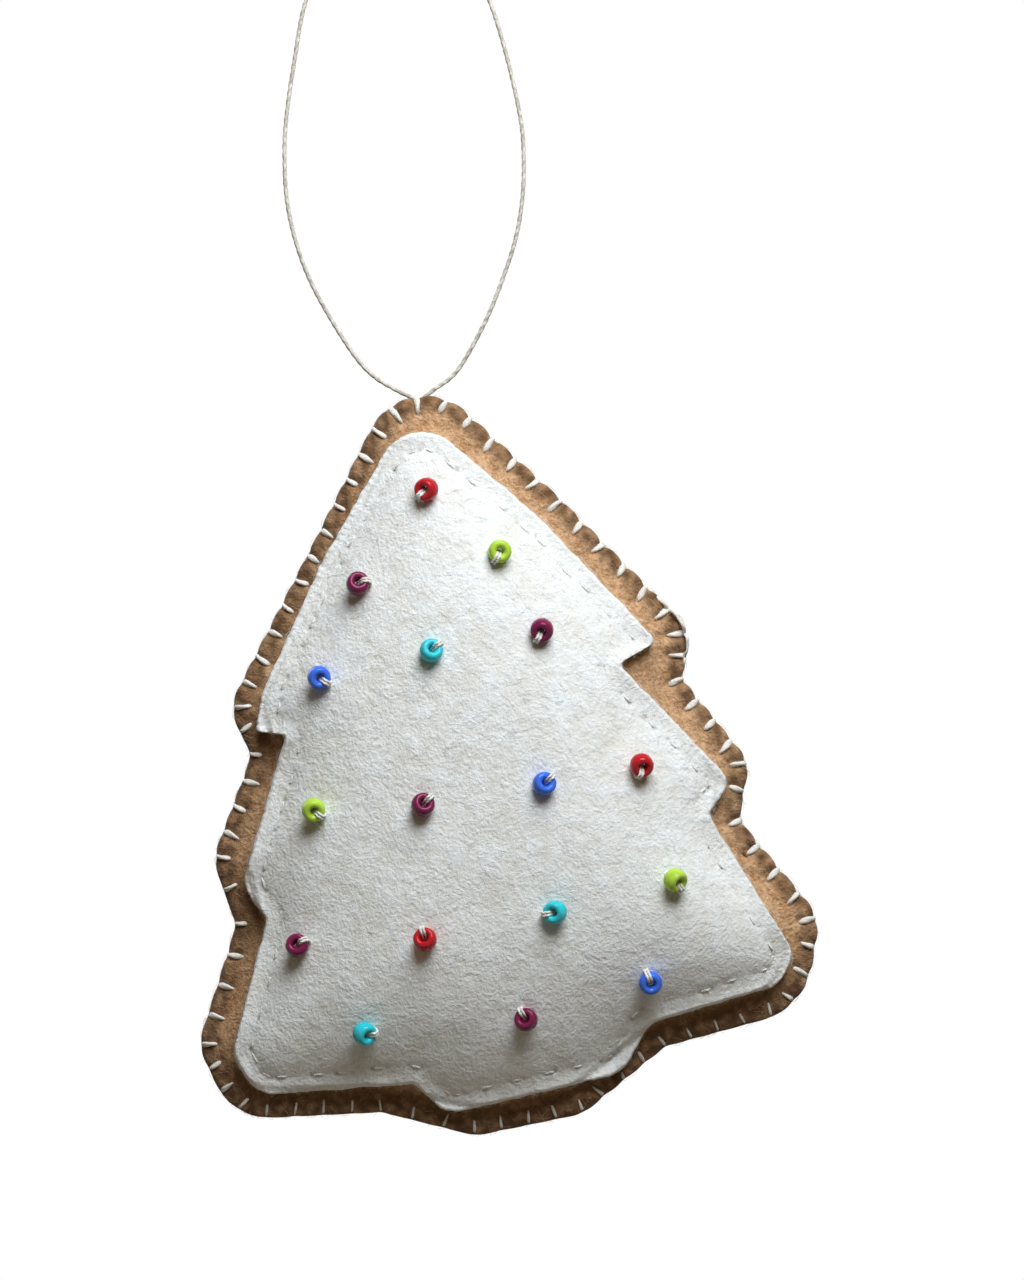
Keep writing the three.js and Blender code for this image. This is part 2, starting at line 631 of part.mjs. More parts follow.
function beadGeometry() {
  const outer = BEAD_DIAMETER / 2;
  const inner = BEAD_HOLE / 2;
  const half = BEAD_HEIGHT / 2;
  const middle = (outer + inner) / 2;
  const waist = half * BEAD_WAIST_SHARE;
  const profile = [
    [inner, -waist], [middle, -half], [outer, -waist], [outer, waist], [middle, half], [inner, waist],
    [inner, -waist],
  ].map(([radius, height]) => new THREE.Vector2(radius, height));
  const bare = new THREE.LatheGeometry(profile, BEAD_SEGMENTS);
  bare.deleteAttribute('normal');
  bare.deleteAttribute('uv');
  return mergeVertices(bare, WELD_DISTANCE);
}

// Bead thread: up beside the filling, through the bead, over its rim, down, and on to the next bead.
function beadThread() {
  const lift = BEAD_THREAD_DIAMETER / 2 + THREAD_CLEARANCE;
  const route = [];
  const holes = [];
  const under = (x, z) => (
    new THREE.Vector3(x, liningHeight(x, z) + (lift + THREAD_CLEARANCE) * slopeFactor(x, z, FRONT_CROWN), z)
  );
  seatedBeads.forEach(({ centre, axis, rim, towards }) => {
    const half = BEAD_HEIGHT / 2;
    const low = centre.clone().addScaledVector(axis, -half - lift / 4);
    const top = centre.clone().addScaledVector(axis, half + lift);
    const over = centre.clone().addScaledVector(axis, half).addScaledVector(rim, BEAD_DIAMETER / 2 + lift);
    const down = centre.clone().addScaledVector(towards, BEAD_DIAMETER / 2 + 2 * lift);
    if (route.length > 0) {
      const before = route[route.length - 1];
      route.push(under((before.x + low.x) / 2, (before.z + low.z) / 2));
    }
    route.push(under(low.x, low.z));
    route.push(low, top, over);
    route.push(new THREE.Vector3(down.x, icingHeight(down.x, down.z) - lift, down.z));
    route.push(under(down.x, down.z));
    holes.push(new THREE.Vector2(low.x, low.z), new THREE.Vector2(down.x, down.z));
  });
  return { route, holes };
}

// The two strands of the cord side by side below the tip, and the knot that keeps them in.
function knotBody() {
  const length = KNOT_DEPTH - CORD_GAP;
  const strands = [-1, 1].map((side) => toSolid(
    new THREE.CylinderGeometry(CORD_DIAMETER / 2, CORD_DIAMETER / 2, length, CORD_SIDES)
      .rotateX(Math.PI / 2)
      .translate(side * STRAND_SPACING / 2, 0, -CORD_GAP - length / 2),
  ));
  const knot = toSolid(
    new THREE.SphereGeometry(0.5, CORD_SIDES, CORD_SIDES - 2)
      .scale(KNOT_WIDTH, KNOT_THICKNESS, KNOT_THICKNESS)
      .translate(0, 0, -KNOT_DEPTH),
  );
  return knot.add(strands[0]).add(strands[1]);
}

// The slot between the panels that the strands come out of.
function cordSlot() {
  const width = STRAND_SPACING + CORD_DIAMETER + 2 * LAYER_GAP;
  const depth = CORD_DIAMETER + 2 * LAYER_GAP;
  const height = KNOT_DEPTH + TIP_RADIUS;
  return toSolid(new THREE.BoxGeometry(width, depth, height).translate(0, 0, TIP_RADIUS - height / 2));
}

function cordGeometry() {
  const start = (side) => new THREE.Vector3(TIP_ACROSS + side * STRAND_SPACING / 2, 0, CORD_GAP - TIP_DROP);
  const bend = (side) => (
    new THREE.Vector3(TIP_ACROSS + side * (STRAND_SPACING / 2 + CORD_GAP / 2), 0, 2.5 * CORD_GAP - TIP_DROP)
  );
  const route = CORD_ROUTE.map(([x, z]) => new THREE.Vector3(x, 0, z));
  const curve = new THREE.CatmullRomCurve3([start(1), bend(1), ...route, bend(-1), start(-1)]);
  const section = new THREE.Shape(Array.from({ length: CORD_SIDES }, (_, k) => {
    const angle = (k / CORD_SIDES) * 2 * Math.PI;
    return new THREE.Vector2(Math.cos(angle), Math.sin(angle)).multiplyScalar(CORD_DIAMETER / 2);
  }));
  return new THREE.ExtrudeGeometry(section, { steps: CORD_STEPS, extrudePath: curve });
}

// Pieces.
const sewing = beadThread();
const edgeHoles = needleHoles(bites, EDGE_THREAD_DIAMETER);
const beadHoles = needleHoles(sewing.holes, BEAD_THREAD_DIAMETER);
const slot = cordSlot();

const frontFelt = toSolid(frontLayer)
  .subtract(edgeHoles).subtract(beadHoles).subtract(slot);
const backFelt = toSolid(layerGeometry(cookieRings, backOuter, backInner))
  .subtract(edgeHoles).subtract(slot);
const icingFelt = toSolid(icingLayer)
  .add(runStitches()).subtract(beadHoles);
const fillingFront = (x, z) => frontInner(x, z) + FILLING_CLEARANCE;
const fillingBack = (x, z) => backInner(x, z) - LAYER_GAP;

const felt = (color) => new THREE.MeshStandardMaterial({ color, roughness: 0.95, metalness: 0 });
const thread = (color) => new THREE.MeshStandardMaterial({ color, roughness: 0.7, metalness: 0 });

const ornament = new THREE.Group();
const tree = new THREE.Group();
tree.position.set(TIP_ACROSS, 0, -TIP_DROP);
tree.rotation.y = THREE.MathUtils.degToRad(-TREE_LEAN_DEG);
ornament.add(tree);

function addPiece(parent, name, geometry, material) {
  const mesh = new THREE.Mesh(geometry, material);
  mesh.name = name;
  parent.add(mesh);
  return mesh;
}

addPiece(ornament, 'hanging_cord', cordGeometry(), thread(CORD_TAN));
addPiece(tree, 'cord_knot', toGeometry(knotBody()), thread(CORD_TAN));
addPiece(tree, 'front_felt', toGeometry(frontFelt), felt(FELT_BROWN));
addPiece(tree, 'back_felt', toGeometry(backFelt), felt(FELT_BROWN));
addPiece(tree, 'filling', layerGeometry(fillingRings, fillingFront, fillingBack), felt(FILLING_WHITE));
addPiece(tree, 'icing_felt', toGeometry(icingFelt), felt(FELT_WHITE));
addPiece(tree, 'edge_thread', threadGeometry(edgeThreadRoute(), EDGE_THREAD_DIAMETER), thread(THREAD_CREAM));
addPiece(tree, 'bead_thread', threadGeometry(sewing.route, BEAD_THREAD_DIAMETER), thread(THREAD_WHITE));
seatedBeads.forEach(({ colour, centre, axis }, i) => {
  const glass = new THREE.MeshStandardMaterial({
    color: BEAD_COLOURS[colour],
    roughness: 0.12,
    metalness: 0,
  });
  const bead = addPiece(tree, `bead_${String(i + 1).padStart(2, '0')}_${colour}`, beadGeometry(), glass);
  bead.position.copy(centre);
  bead.quaternion.setFromUnitVectors(new THREE.Vector3(0, 1, 0), axis);
});

export default ornament;
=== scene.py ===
import json
import math

import bmesh
import bpy
import numpy as np
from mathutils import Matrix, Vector, noise

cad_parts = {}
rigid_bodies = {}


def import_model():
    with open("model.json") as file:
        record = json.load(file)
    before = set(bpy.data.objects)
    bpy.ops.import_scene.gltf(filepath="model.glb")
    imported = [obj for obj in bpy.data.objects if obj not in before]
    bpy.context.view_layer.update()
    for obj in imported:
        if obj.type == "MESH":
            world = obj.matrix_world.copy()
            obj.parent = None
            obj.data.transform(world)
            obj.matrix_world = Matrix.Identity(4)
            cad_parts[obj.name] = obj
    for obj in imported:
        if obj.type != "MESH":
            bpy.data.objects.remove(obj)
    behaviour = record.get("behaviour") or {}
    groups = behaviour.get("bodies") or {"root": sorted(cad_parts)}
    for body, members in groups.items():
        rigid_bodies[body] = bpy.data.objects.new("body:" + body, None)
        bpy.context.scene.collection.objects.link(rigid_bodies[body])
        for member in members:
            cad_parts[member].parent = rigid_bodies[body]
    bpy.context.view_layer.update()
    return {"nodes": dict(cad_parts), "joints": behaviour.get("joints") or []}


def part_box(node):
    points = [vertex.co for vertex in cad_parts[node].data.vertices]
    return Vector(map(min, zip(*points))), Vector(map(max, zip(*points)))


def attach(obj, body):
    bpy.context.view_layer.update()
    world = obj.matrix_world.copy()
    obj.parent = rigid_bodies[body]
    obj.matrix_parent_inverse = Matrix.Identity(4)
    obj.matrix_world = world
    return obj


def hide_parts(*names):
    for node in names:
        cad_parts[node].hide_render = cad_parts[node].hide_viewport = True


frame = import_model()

bl_info = {
    "name": "Felt Tree Ornament",
    "version": (1, 0, 0),
    "blender": (4, 5, 0),
    "location": "View3D > Sidebar > Felt Tree",
    "description": "Dresses the frame of a stuffed felt tree with felt, thread, beads and cord",
    "category": "Object",
}

# Metres, +Z up, the front faces -Y. The tree is made upright below its tip and then leaned.
TREE_JOINT = frame["joints"][0]
TIP = np.array(TREE_JOINT["pos_m"])
TREE_BODY = TREE_JOINT["child"]
CORD_BODY = TREE_JOINT["parent"]
BEAD_NODES = sorted(n for n in frame["nodes"] if n.startswith("bead_") and n != "bead_thread")

# Corners of the outer panels before rounding, clockwise from the tip: across, up, radius.
TREE_CORNERS = (
    (-0.0009, 0.0052, 0.0079), (0.0154, -0.0152, 0.0300), (0.0302, -0.0354, 0.0057),
    (0.0280, -0.0414, 0.0016), (0.0350, -0.0534, 0.0041), (0.0325, -0.0606, 0.0043),
    (0.0410, -0.0748, 0.0063), (0.0372, -0.0861, 0.0089), (0.0186, -0.0882, 0.0040),
    (0.0067, -0.0952, 0.0049), (-0.0075, -0.0959, 0.0051), (-0.0191, -0.0910, 0.0041),
    (-0.0383, -0.0890, 0.0076), (-0.0413, -0.0789, 0.0056), (-0.0340, -0.0642, 0.0032),
    (-0.0357, -0.0552, 0.0062), (-0.0286, -0.0426, 0.0037), (-0.0308, -0.0362, 0.0062),
    (-0.0158, -0.0157, 0.0300),
)

# A corner with a larger radius bends the edge without showing as a corner.
SOFT_RADIUS = 0.02

# Most of the side between two corners that the arc of one may take.
CORNER_SHARE = 0.48

# The same for the white panel.
ICING_CORNERS = (
    (-0.0014, -0.0013, 0.0058), (0.0130, -0.0180, 0.0300), (0.0256, -0.0361, 0.0009),
    (0.0202, -0.0383, 0.0007), (0.0324, -0.0555, 0.0025), (0.0287, -0.0593, 0.0011),
    (0.0371, -0.0791, 0.0041), (0.0344, -0.0826, 0.0042), (0.0171, -0.0849, 0.0036),
    (0.0125, -0.0908, 0.0045), (-0.0108, -0.0926, 0.0041), (-0.0143, -0.0880, 0.0012),
    (-0.0346, -0.0864, 0.0042), (-0.0372, -0.0809, 0.0038), (-0.0300, -0.0640, 0.0016),
    (-0.0325, -0.0593, 0.0039), (-0.0239, -0.0407, 0.0006), (-0.0278, -0.0397, 0.0005),
    (-0.0258, -0.0344, 0.0080), (-0.0155, -0.0188, 0.0300),
)

# Middle of the tree, where the rings of the panels and the filling close.
LOFT_CENTRE = np.array((0.0, -0.041))

# Middle of the stretch of edge where the blanket stitch lies loose, and how far it reaches.
LOOSE_THREAD = np.array((0.0288, -0.0345))
LOOSE_REACH = 0.005

# Centre line of the loop, up the right strand, over the top and down the left one.
CORD_ROUTE = (
    (0.0038, -0.0688), (0.0054, -0.0675), (0.0075, -0.0660), (0.0093, -0.0637), (0.0121, -0.0585),
    (0.0142, -0.0533), (0.0159, -0.0481), (0.0168, -0.0429), (0.0170, -0.0377), (0.0166, -0.0325),
    (0.0149, -0.0247), (0.0125, -0.0169), (0.0086, -0.0086), (0.0040, -0.0024), (0.0000, -0.0004),
    (-0.0036, -0.0024), (-0.0078, -0.0086), (-0.0113, -0.0169), (-0.0128, -0.0247), (-0.0139, -0.0325),
    (-0.0141, -0.0377), (-0.0138, -0.0429), (-0.0127, -0.0481), (-0.0108, -0.0533), (-0.0080, -0.0585),
    (-0.0048, -0.0634), (-0.0024, -0.0659), (0.0004, -0.0676), (0.0029, -0.0688),
)

# How fine the meshes are.
SEAM_SAMPLE = 0.001
TREE_EDGE = 0.00038
ICING_EDGE = 0.00031
THREAD_STEP = 0.0002

# How many points are measured at a time, and the seed of all that is uneven by hand.
CHUNK = 6000
SEED = 11

# Name of the attribute that paints shade on the felt: in the needle holes of the white panel, and on the
# rolled edge of the brown panels.
FELT_PAINTED_SHADE = "felt_shade"

# Upper right in the plane of the tree, where the stitches are firm and the edge is full; it also faces the
# key lamp, and the brown edge gets painted shade on the side away from it.
FIRM_AND_LIT_SIDE = np.array((0.6, 0.8))

# Bands in from the seam or the tip: where a change starts, and the width that it takes.
PUFF_END = (0.0021, 0.0026)
GATHER_START = (0.0015, 0.0020)
GATHER_END = (0.0040, 0.0060)
CORD_HOLLOW = (0.0030, 0.0015)

# The blanket stitch in the felt: pull where it is slack, slant to either side, first step in from the
# edge, widths of its dents, depth of the gathers, and way in over which the bulge of the edge fades.
SLACK_PULL = 0.0001
STITCH_SLANT = 0.0004
STEP_OFF_EDGE = 0.0005
PINCH_WIDTH = 0.00062
EDGE_PINCH_WIDTH = 0.00085
GATHER_DEPTH = 0.0002
EDGE_FADE = 0.0013

# The white panel: depths and widths of its sewn line, dashes, needle holes and bead dents, and its rim.
LINE_DENT = (0.00006, 0.0008)
DASH_DENT = (0.00006, 0.0005)
HOLE_DENT = (0.0004, 0.00024)
BEAD_DENT_WIDTH = 0.0021
RIM_LIFT = (0.00003, 0.0009)

# Painted shade on the rolled edge of the brown felt: where it starts to fade, the width of that where firm
# and lit, how much more where slack and away from the key lamp, and the size of its patches.
EDGE_SHADE_START = 0.0011
EDGE_SHADE_WIDTH = 0.0015
SHADED_SIDE_WIDTH = 0.0026
EDGE_SHADE_PATCH = 0.0011

# The filling: way in from the seam, room to the felts, least height on each side, depth and size of its
# lumps, and its rings as shares of the way out.
FILLING_MARGIN = 0.0052
FILLING_ROOM_FRONT = 0.0014
FILLING_ROOM_BACK = 0.0006
FILLING_LEAST = 0.0002
FILLING_LUMP = (0.0003, 0.007)
FILLING_RINGS = (0.12, 0.3, 0.48, 0.64, 0.78, 0.88, 0.94)

# The blanket stitch: shares of a bar from rim to bite and its taper there, shares of the way along the
# seam to the next bar, how thin and how far in the thread is there, and how far a loose one drops.
BAR_SHARES = np.array((0.04, 0.22, 0.44, 0.66, 0.88))
BAR_TAPER = np.array((0.95, 1.04, 1.0, 0.92, 0.74))
SEAM_SHARES = (0.18, 0.5, 0.82)
SEAM_THIN = 0.6
SEAM_INSET = 0.0002
LOOSE_DROP = 0.0015

# The running stitch: shares of a dash where its height is set.
DASH_SHARES = np.array((0.02, 0.14, 0.35, 0.65, 0.86, 0.98))

# Twist of the cord and the threads: how many plies, then for each the share of the radius that the
# plies stand in and out by, and turns in a metre.
THREAD_PLIES = 2
CORD_TWIST = (0.1, 430.0)
EDGE_TWIST = (0.2, 170.0)
RUN_TWIST = (0.16, 800.0)
BEAD_TWIST = (0.14, 900.0)

# The knot: where the strands start to turn above its middle, and how far off it they go to the front
# or back and up or down.
KNOT_ENTRY = 0.0012
KNOT_OFFSET = 0.00042
KNOT_RISE = 0.0007

# The hand-cut edge of the white panel: depth, wavelength and seed of its waves.
CUT_WAVES = ((0.00014, 0.0021, 31.0), (0.00008, 0.0007, 33.0))

# Felt finishes: weights of the broad, soft and fine mottle, half its spread, and depth of the bump.
# Then the strength of that bump, and the depth of the grain on thread, cord and filling.
BROWN_MOTTLE = ((0.05, 0.14, 0.3), 0.09, 0.0011)
WHITE_MOTTLE = ((0.16, 0.28, 0.2), 0.085, 0.0009)
FELT_BUMP = 0.8
GRAIN_DEPTH = 0.0001

# Streaks in the felt: slant in degrees, and fineness along and across, then fineness in depth, weight of
# all streaks together and the height that they start from.
STREAKS = ((6, 420, 1500), (-24, 520, 2000), (34, 640, 2400), (80, 800, 2600))
STREAK_DEPTH_FINENESS = 900
STREAK_WEIGHT = 0.12
STREAK_BASE = 0.44

# The stage: way from the tree, distance and size of each lamp, how far below the middle of the view they
# aim, tones of the light all round, and the floor with the band over which it fades into white.
LAMP_COLOUR = (0.93, 0.975, 1.0)
KEY_LAMP = ((0.17, -0.60, 0.78), 0.42, 0.27)
REAR_LAMP = ((-0.25, 0.45, 0.25), 0.55, 0.4)
LAMP_AIM_DROP = 0.02
WHITE = (1, 1, 1, 1)
SKY_BELOW = (0.014, 0.008, 0.002, 1)
SKY_LEVEL = (0.062, 0.04, 0.016, 1)
SKY_ABOVE = (0.16, 0.138, 0.10, 1)
FLOOR_TONE = (0.8, 0.74, 0.64, 1)
FLOOR_HALF = 0.6
FLOOR_FADE = (0.18, 0.55)

# Tones of glass, which end the names of the beads in the frame.
BEAD_TONES = ("red", "lime", "plum", "teal", "blue")


def length(name, description, default):
    """A size in metres."""
    return bpy.props.FloatProperty(
        name=name, description=description, default=default, unit="LENGTH", precision=5
    )


def number(name, description, default):
    """A plain number."""
    return bpy.props.FloatProperty(name=name, description=description, default=default)


def colour(name, description, default):
    """A linear colour."""
    return bpy.props.FloatVectorProperty(
        name=name, description=description, default=default, subtype="COLOR", size=3, min=0, max=1
    )


class FeltSettings(bpy.types.PropertyGroup):
    """The felt panels, the filling and the fuzz on the felt."""

    thickness: length("Felt thickness", "Thickness of the two outer panels", 0.0012)
    icing_thickness: length("Icing thickness", "Thickness of the white panel", 0.0011)
    layer_gap: length("Layer gap", "Gap between the outer panels at the seam", 0.0003)
    cord_room: length("Cord room", "Room for the cord in each outer panel at the tip", 0.0003)
    icing_gap: length("Icing gap", "Gap between the white panel and the front", 0.0002)
    icing_flare: length("Icing flare", "How far the edge of the white panel stands off", 0.0008)
    front_crown: length("Front crown", "Swell of the front panel", 0.0096)
    back_crown: length("Back crown", "Swell of the back panel", 0.0080)
    crown_rise: length("Crown rise", "Way in from the seam over which the panels swell", 0.0242)
    fullness: number("Fullness", "How fast the swell rises at the seam", 2.2)
    seam_margin: length("Seam margin", "Flat margin at the seam", 0.0034)
    lobe_swell: length("Lobe swell", "Swell of the edge between two stitches", 0.00042)
    stitch_sink: length("Stitch sink", "How deep a stitch sinks into the edge", 0.0004)
    edge_pull: length("Edge pull", "How far a stitch draws the edge in", 0.00042)
    rim_droop: length("Rim droop", "How far the edge rolls back towards the seam", 0.0008)
    unevenness: length("Unevenness", "Unevenness of the hand-made felt", 0.00012)
    fuzz_length: length("Fuzz length", "Length of a loose fibre", 0.0013)
    fuzz_radius: length("Fuzz radius", "Radius of a loose fibre", 0.000014)
    lean: bpy.props.FloatProperty(
        name="Lean", description="Lean of the tree at rest", default=math.radians(8.8), subtype="ANGLE"
    )
    brown: colour("Brown", "Light tone of the outer panels", (0.72, 0.465, 0.275))
    brown_dark: colour("Dark brown", "Dark tone of the outer panels", (0.385, 0.195, 0.084))
    white: colour("White", "Light tone of the white panel", (0.89, 0.922, 0.95))
    white_dark: colour("Off white", "Dark tone of the white panel", (0.775, 0.76, 0.715))
    fill: number("Fill", "How tightly the tree is stuffed", 0.8)


class StitchSettings(bpy.types.PropertyGroup):
    """The blanket stitch round the edge and the running stitch of the white panel."""

    edge_thread: length("Edge thread", "Diameter of the blanket-stitch thread", 0.00068)
    pitch: length("Pitch", "Distance between blanket stitches", 0.0038)
    bite: length("Bite", "How far a blanket stitch reaches in", 0.0021)
    bite_room: length("Bite room", "Distance from a blanket stitch to the white panel", 0.0004)
    run_thread: length("Running thread", "Diameter of the running-stitch thread", 0.0003)
    run_inset: length("Running inset", "Distance of the running stitch from the edge", 0.0023)
    run_pitch: length("Running pitch", "Distance between running stitches", 0.004)
    run_length: length("Running length", "Length of a running stitch", 0.0018)
    cream: colour("Cream", "Blanket-stitch thread", (0.90, 0.865, 0.81))
    white: colour("White", "Running-stitch and bead thread", (0.88, 0.87, 0.84))


class BeadSettings(bpy.types.PropertyGroup):
    """The glass seed beads and their thread."""

    diameter: length("Bead diameter", "Outer diameter of a bead", 0.00305)
    height: length("Bead height", "Length of a bead along its hole", 0.0021)
    hole: length("Bead hole", "Diameter of the hole", 0.0008)
    thread: length("Bead thread", "Diameter of one of the two strands", 0.00036)
    sink: length("Bead sink", "How far a bead sits in the felt", 0.00015)
    red: colour("Red", "Red glass", (0.50, 0.0, 0.008))
    lime: colour("Lime", "Lime glass", (0.44, 0.68, 0.05))
    plum: colour("Plum", "Plum glass", (0.185, 0.0, 0.055))
    teal: colour("Teal", "Teal glass", (0.02, 0.59, 0.69))
    blue: colour("Blue", "Blue glass", (0.04, 0.16, 0.80))


class CordSettings(bpy.types.PropertyGroup):
    """The hanging cord and its knot."""

    diameter: length("Cord diameter", "Diameter of the cord", 0.00054)
    strand_spacing: length("Strand spacing", "Distance between the strands in the tip", 0.0016)
    knot_depth: length("Knot depth", "Depth of the knot below the tip", 0.007)
    knot_width: length("Knot width", "Width of the knot", 0.0032)
    light: colour("Light", "Light tone of the cord", (0.76, 0.73, 0.66))
    dark: colour("Dark", "Dark tone of the cord", (0.42, 0.39, 0.32))


class StageSettings(bpy.types.PropertyGroup):
    """Camera, lights and floor."""

    camera_distance: length("Camera distance", "From the lens to the seam of the tree", 1.5)
    view_height: length("View height", "Height of the view at the seam of the tree", 0.1664)
    view_x: length("View across", "Middle of the view across", 0.01547)
    view_z: length("View up", "Middle of the view in height", -0.1001)
    floor_drop: length("Floor drop", "Height of the floor below the top of the loop", 0.7)
    key_power: number("Key power", "Power of the main lamp in watts", 2.4)
    rear_power: number("Rear power", "Power of the lamp behind in watts", 2.4)
    sky: number("Sky", "Strength of the light from all round", 1.0)


class OrnamentSettings(bpy.types.PropertyGroup):
    """All sizes and colours of the ornament."""

    felt: bpy.props.PointerProperty(type=FeltSettings)
    stitch: bpy.props.PointerProperty(type=StitchSettings)
    bead: bpy.props.PointerProperty(type=BeadSettings)
    cord: bpy.props.PointerProperty(type=CordSettings)
    stage: bpy.props.PointerProperty(type=StageSettings)


def rounded_path(corners, arc_points=24):
    """A closed path with an arc for every corner, and the middle of each arc that shows as a corner."""
    path, middles = [], []
    points = [np.array(corner[:2]) for corner in corners]
    for i, at in enumerate(points):
        radius = corners[i][2]
        back = points[i - 1] - at
        ahead = points[(i + 1) % len(points)] - at
        room = CORNER_SHARE * min(np.hypot(*back), np.hypot(*ahead))
        back, ahead = back / np.hypot(*back), ahead / np.hypot(*ahead)
        half = math.acos(np.clip(back @ ahead, -1, 1)) / 2
        reach = min(radius / math.tan(half), room)
        inward = (back + ahead) / np.hypot(*(back + ahead))
        centre = at + inward * reach / math.cos(half)
        start, end = at + back * reach - centre, at + ahead * reach - centre
        turn = math.atan2(start[0] * end[1] - start[1] * end[0], start @ end)
        for t in np.linspace(0, turn, arc_points):
            c, s = math.cos(t), math.sin(t)
            path.append(centre + (start[0] * c - start[1] * s, start[0] * s + start[1] * c))
        if radius < SOFT_RADIUS:
            middles.append(path[-arc_points // 2])
    return np.array(path), middles


class Outline:
    """A closed outline that can be walked by length."""

    def __init__(self, corners, edge):
        path, middles = rounded_path(corners)
        self.ring = np.vstack([path, path[:1]])
        steps = np.hypot(*np.diff(self.ring, axis=0).T)
        self.along = np.concatenate([[0], np.cumsum(steps)])
        self.length = self.along[-1]
        count = round(self.length / edge)
        self.places = np.arange(count) * self.length / count
        self.points = self.at(self.places)
        self.out = self.outward(self.places)
        self.marks = [self.nearest(middle) for middle in middles]

    def at(self, place):
        wrapped = np.mod(place, self.length)
        return np.stack([np.interp(wrapped, self.along, self.ring[:, k]) for k in (0, 1)], axis=-1)

    def outward(self, place, step=0.0012):
        ahead = self.at(place + step) - self.at(place - step)
        out = np.stack([-ahead[..., 1], ahead[..., 0]], axis=-1)
        return out / np.linalg.norm(out, axis=-1, keepdims=True)

    def nearest(self, target):
        return self.places[np.argmin(np.hypot(*(self.points - target).T))]

    def evenly(self, spacing):
        count = math.ceil(self.length / spacing)
        return np.arange(count) * self.length / count


def in_chunks(measure, points):
    """A measure of many points, a few thousand at a time."""
    parts = [measure(points[i:i + CHUNK]) for i in range(0, len(points), CHUNK)]
    return np.concatenate(parts)


def from_segments(points, starts, ends):
    """Distances of points from straight segments, one column for each segment."""
    run = ends - starts
    size = np.maximum((run ** 2).sum(1), 1e-12)
    offset = points[:, None, :] - starts[None]
    share = np.clip((offset * run).sum(2) / size, 0, 1)
    return np.linalg.norm(offset - share[..., None] * run, axis=2)


def distance_from(points, others):
    """Distance of each point from the nearest of some others."""
    return np.linalg.norm(points[:, None] - others[None], axis=2).min(1)


def ramp(value, start, width):
    """0 up to a start, then smoothly up to 1 over a width."""
    share = np.clip((value - start) / width, 0, 1)
    return share * share * (3 - 2 * share)


def hump(distance, width):
    """1 at no distance, soft to 0 a few widths off."""
    return np.exp(-(distance / width) ** 2)


def firmness_and_light(out):
    """How firmly an edge that faces a way is sewn, from 0 to 1, and how far it faces the key lamp, for the
    painted shade of the brown edge.
    """
    return np.clip(0.5 + 0.75 * (out @ FIRM_AND_LIT_SIDE), 0, 1)


def sideways(out):
    """Along the edge, a quarter turn from the way out."""
    return np.stack([out[:, 1], -out[:, 0]], axis=1)


def wobble(points, wavelength, seed):
    """Smooth noise over the plane of the tree, from -1 to 1."""
    scaled = points / wavelength
    return np.array([noise.noise(Vector((x, z, seed))) for x, z in scaled])


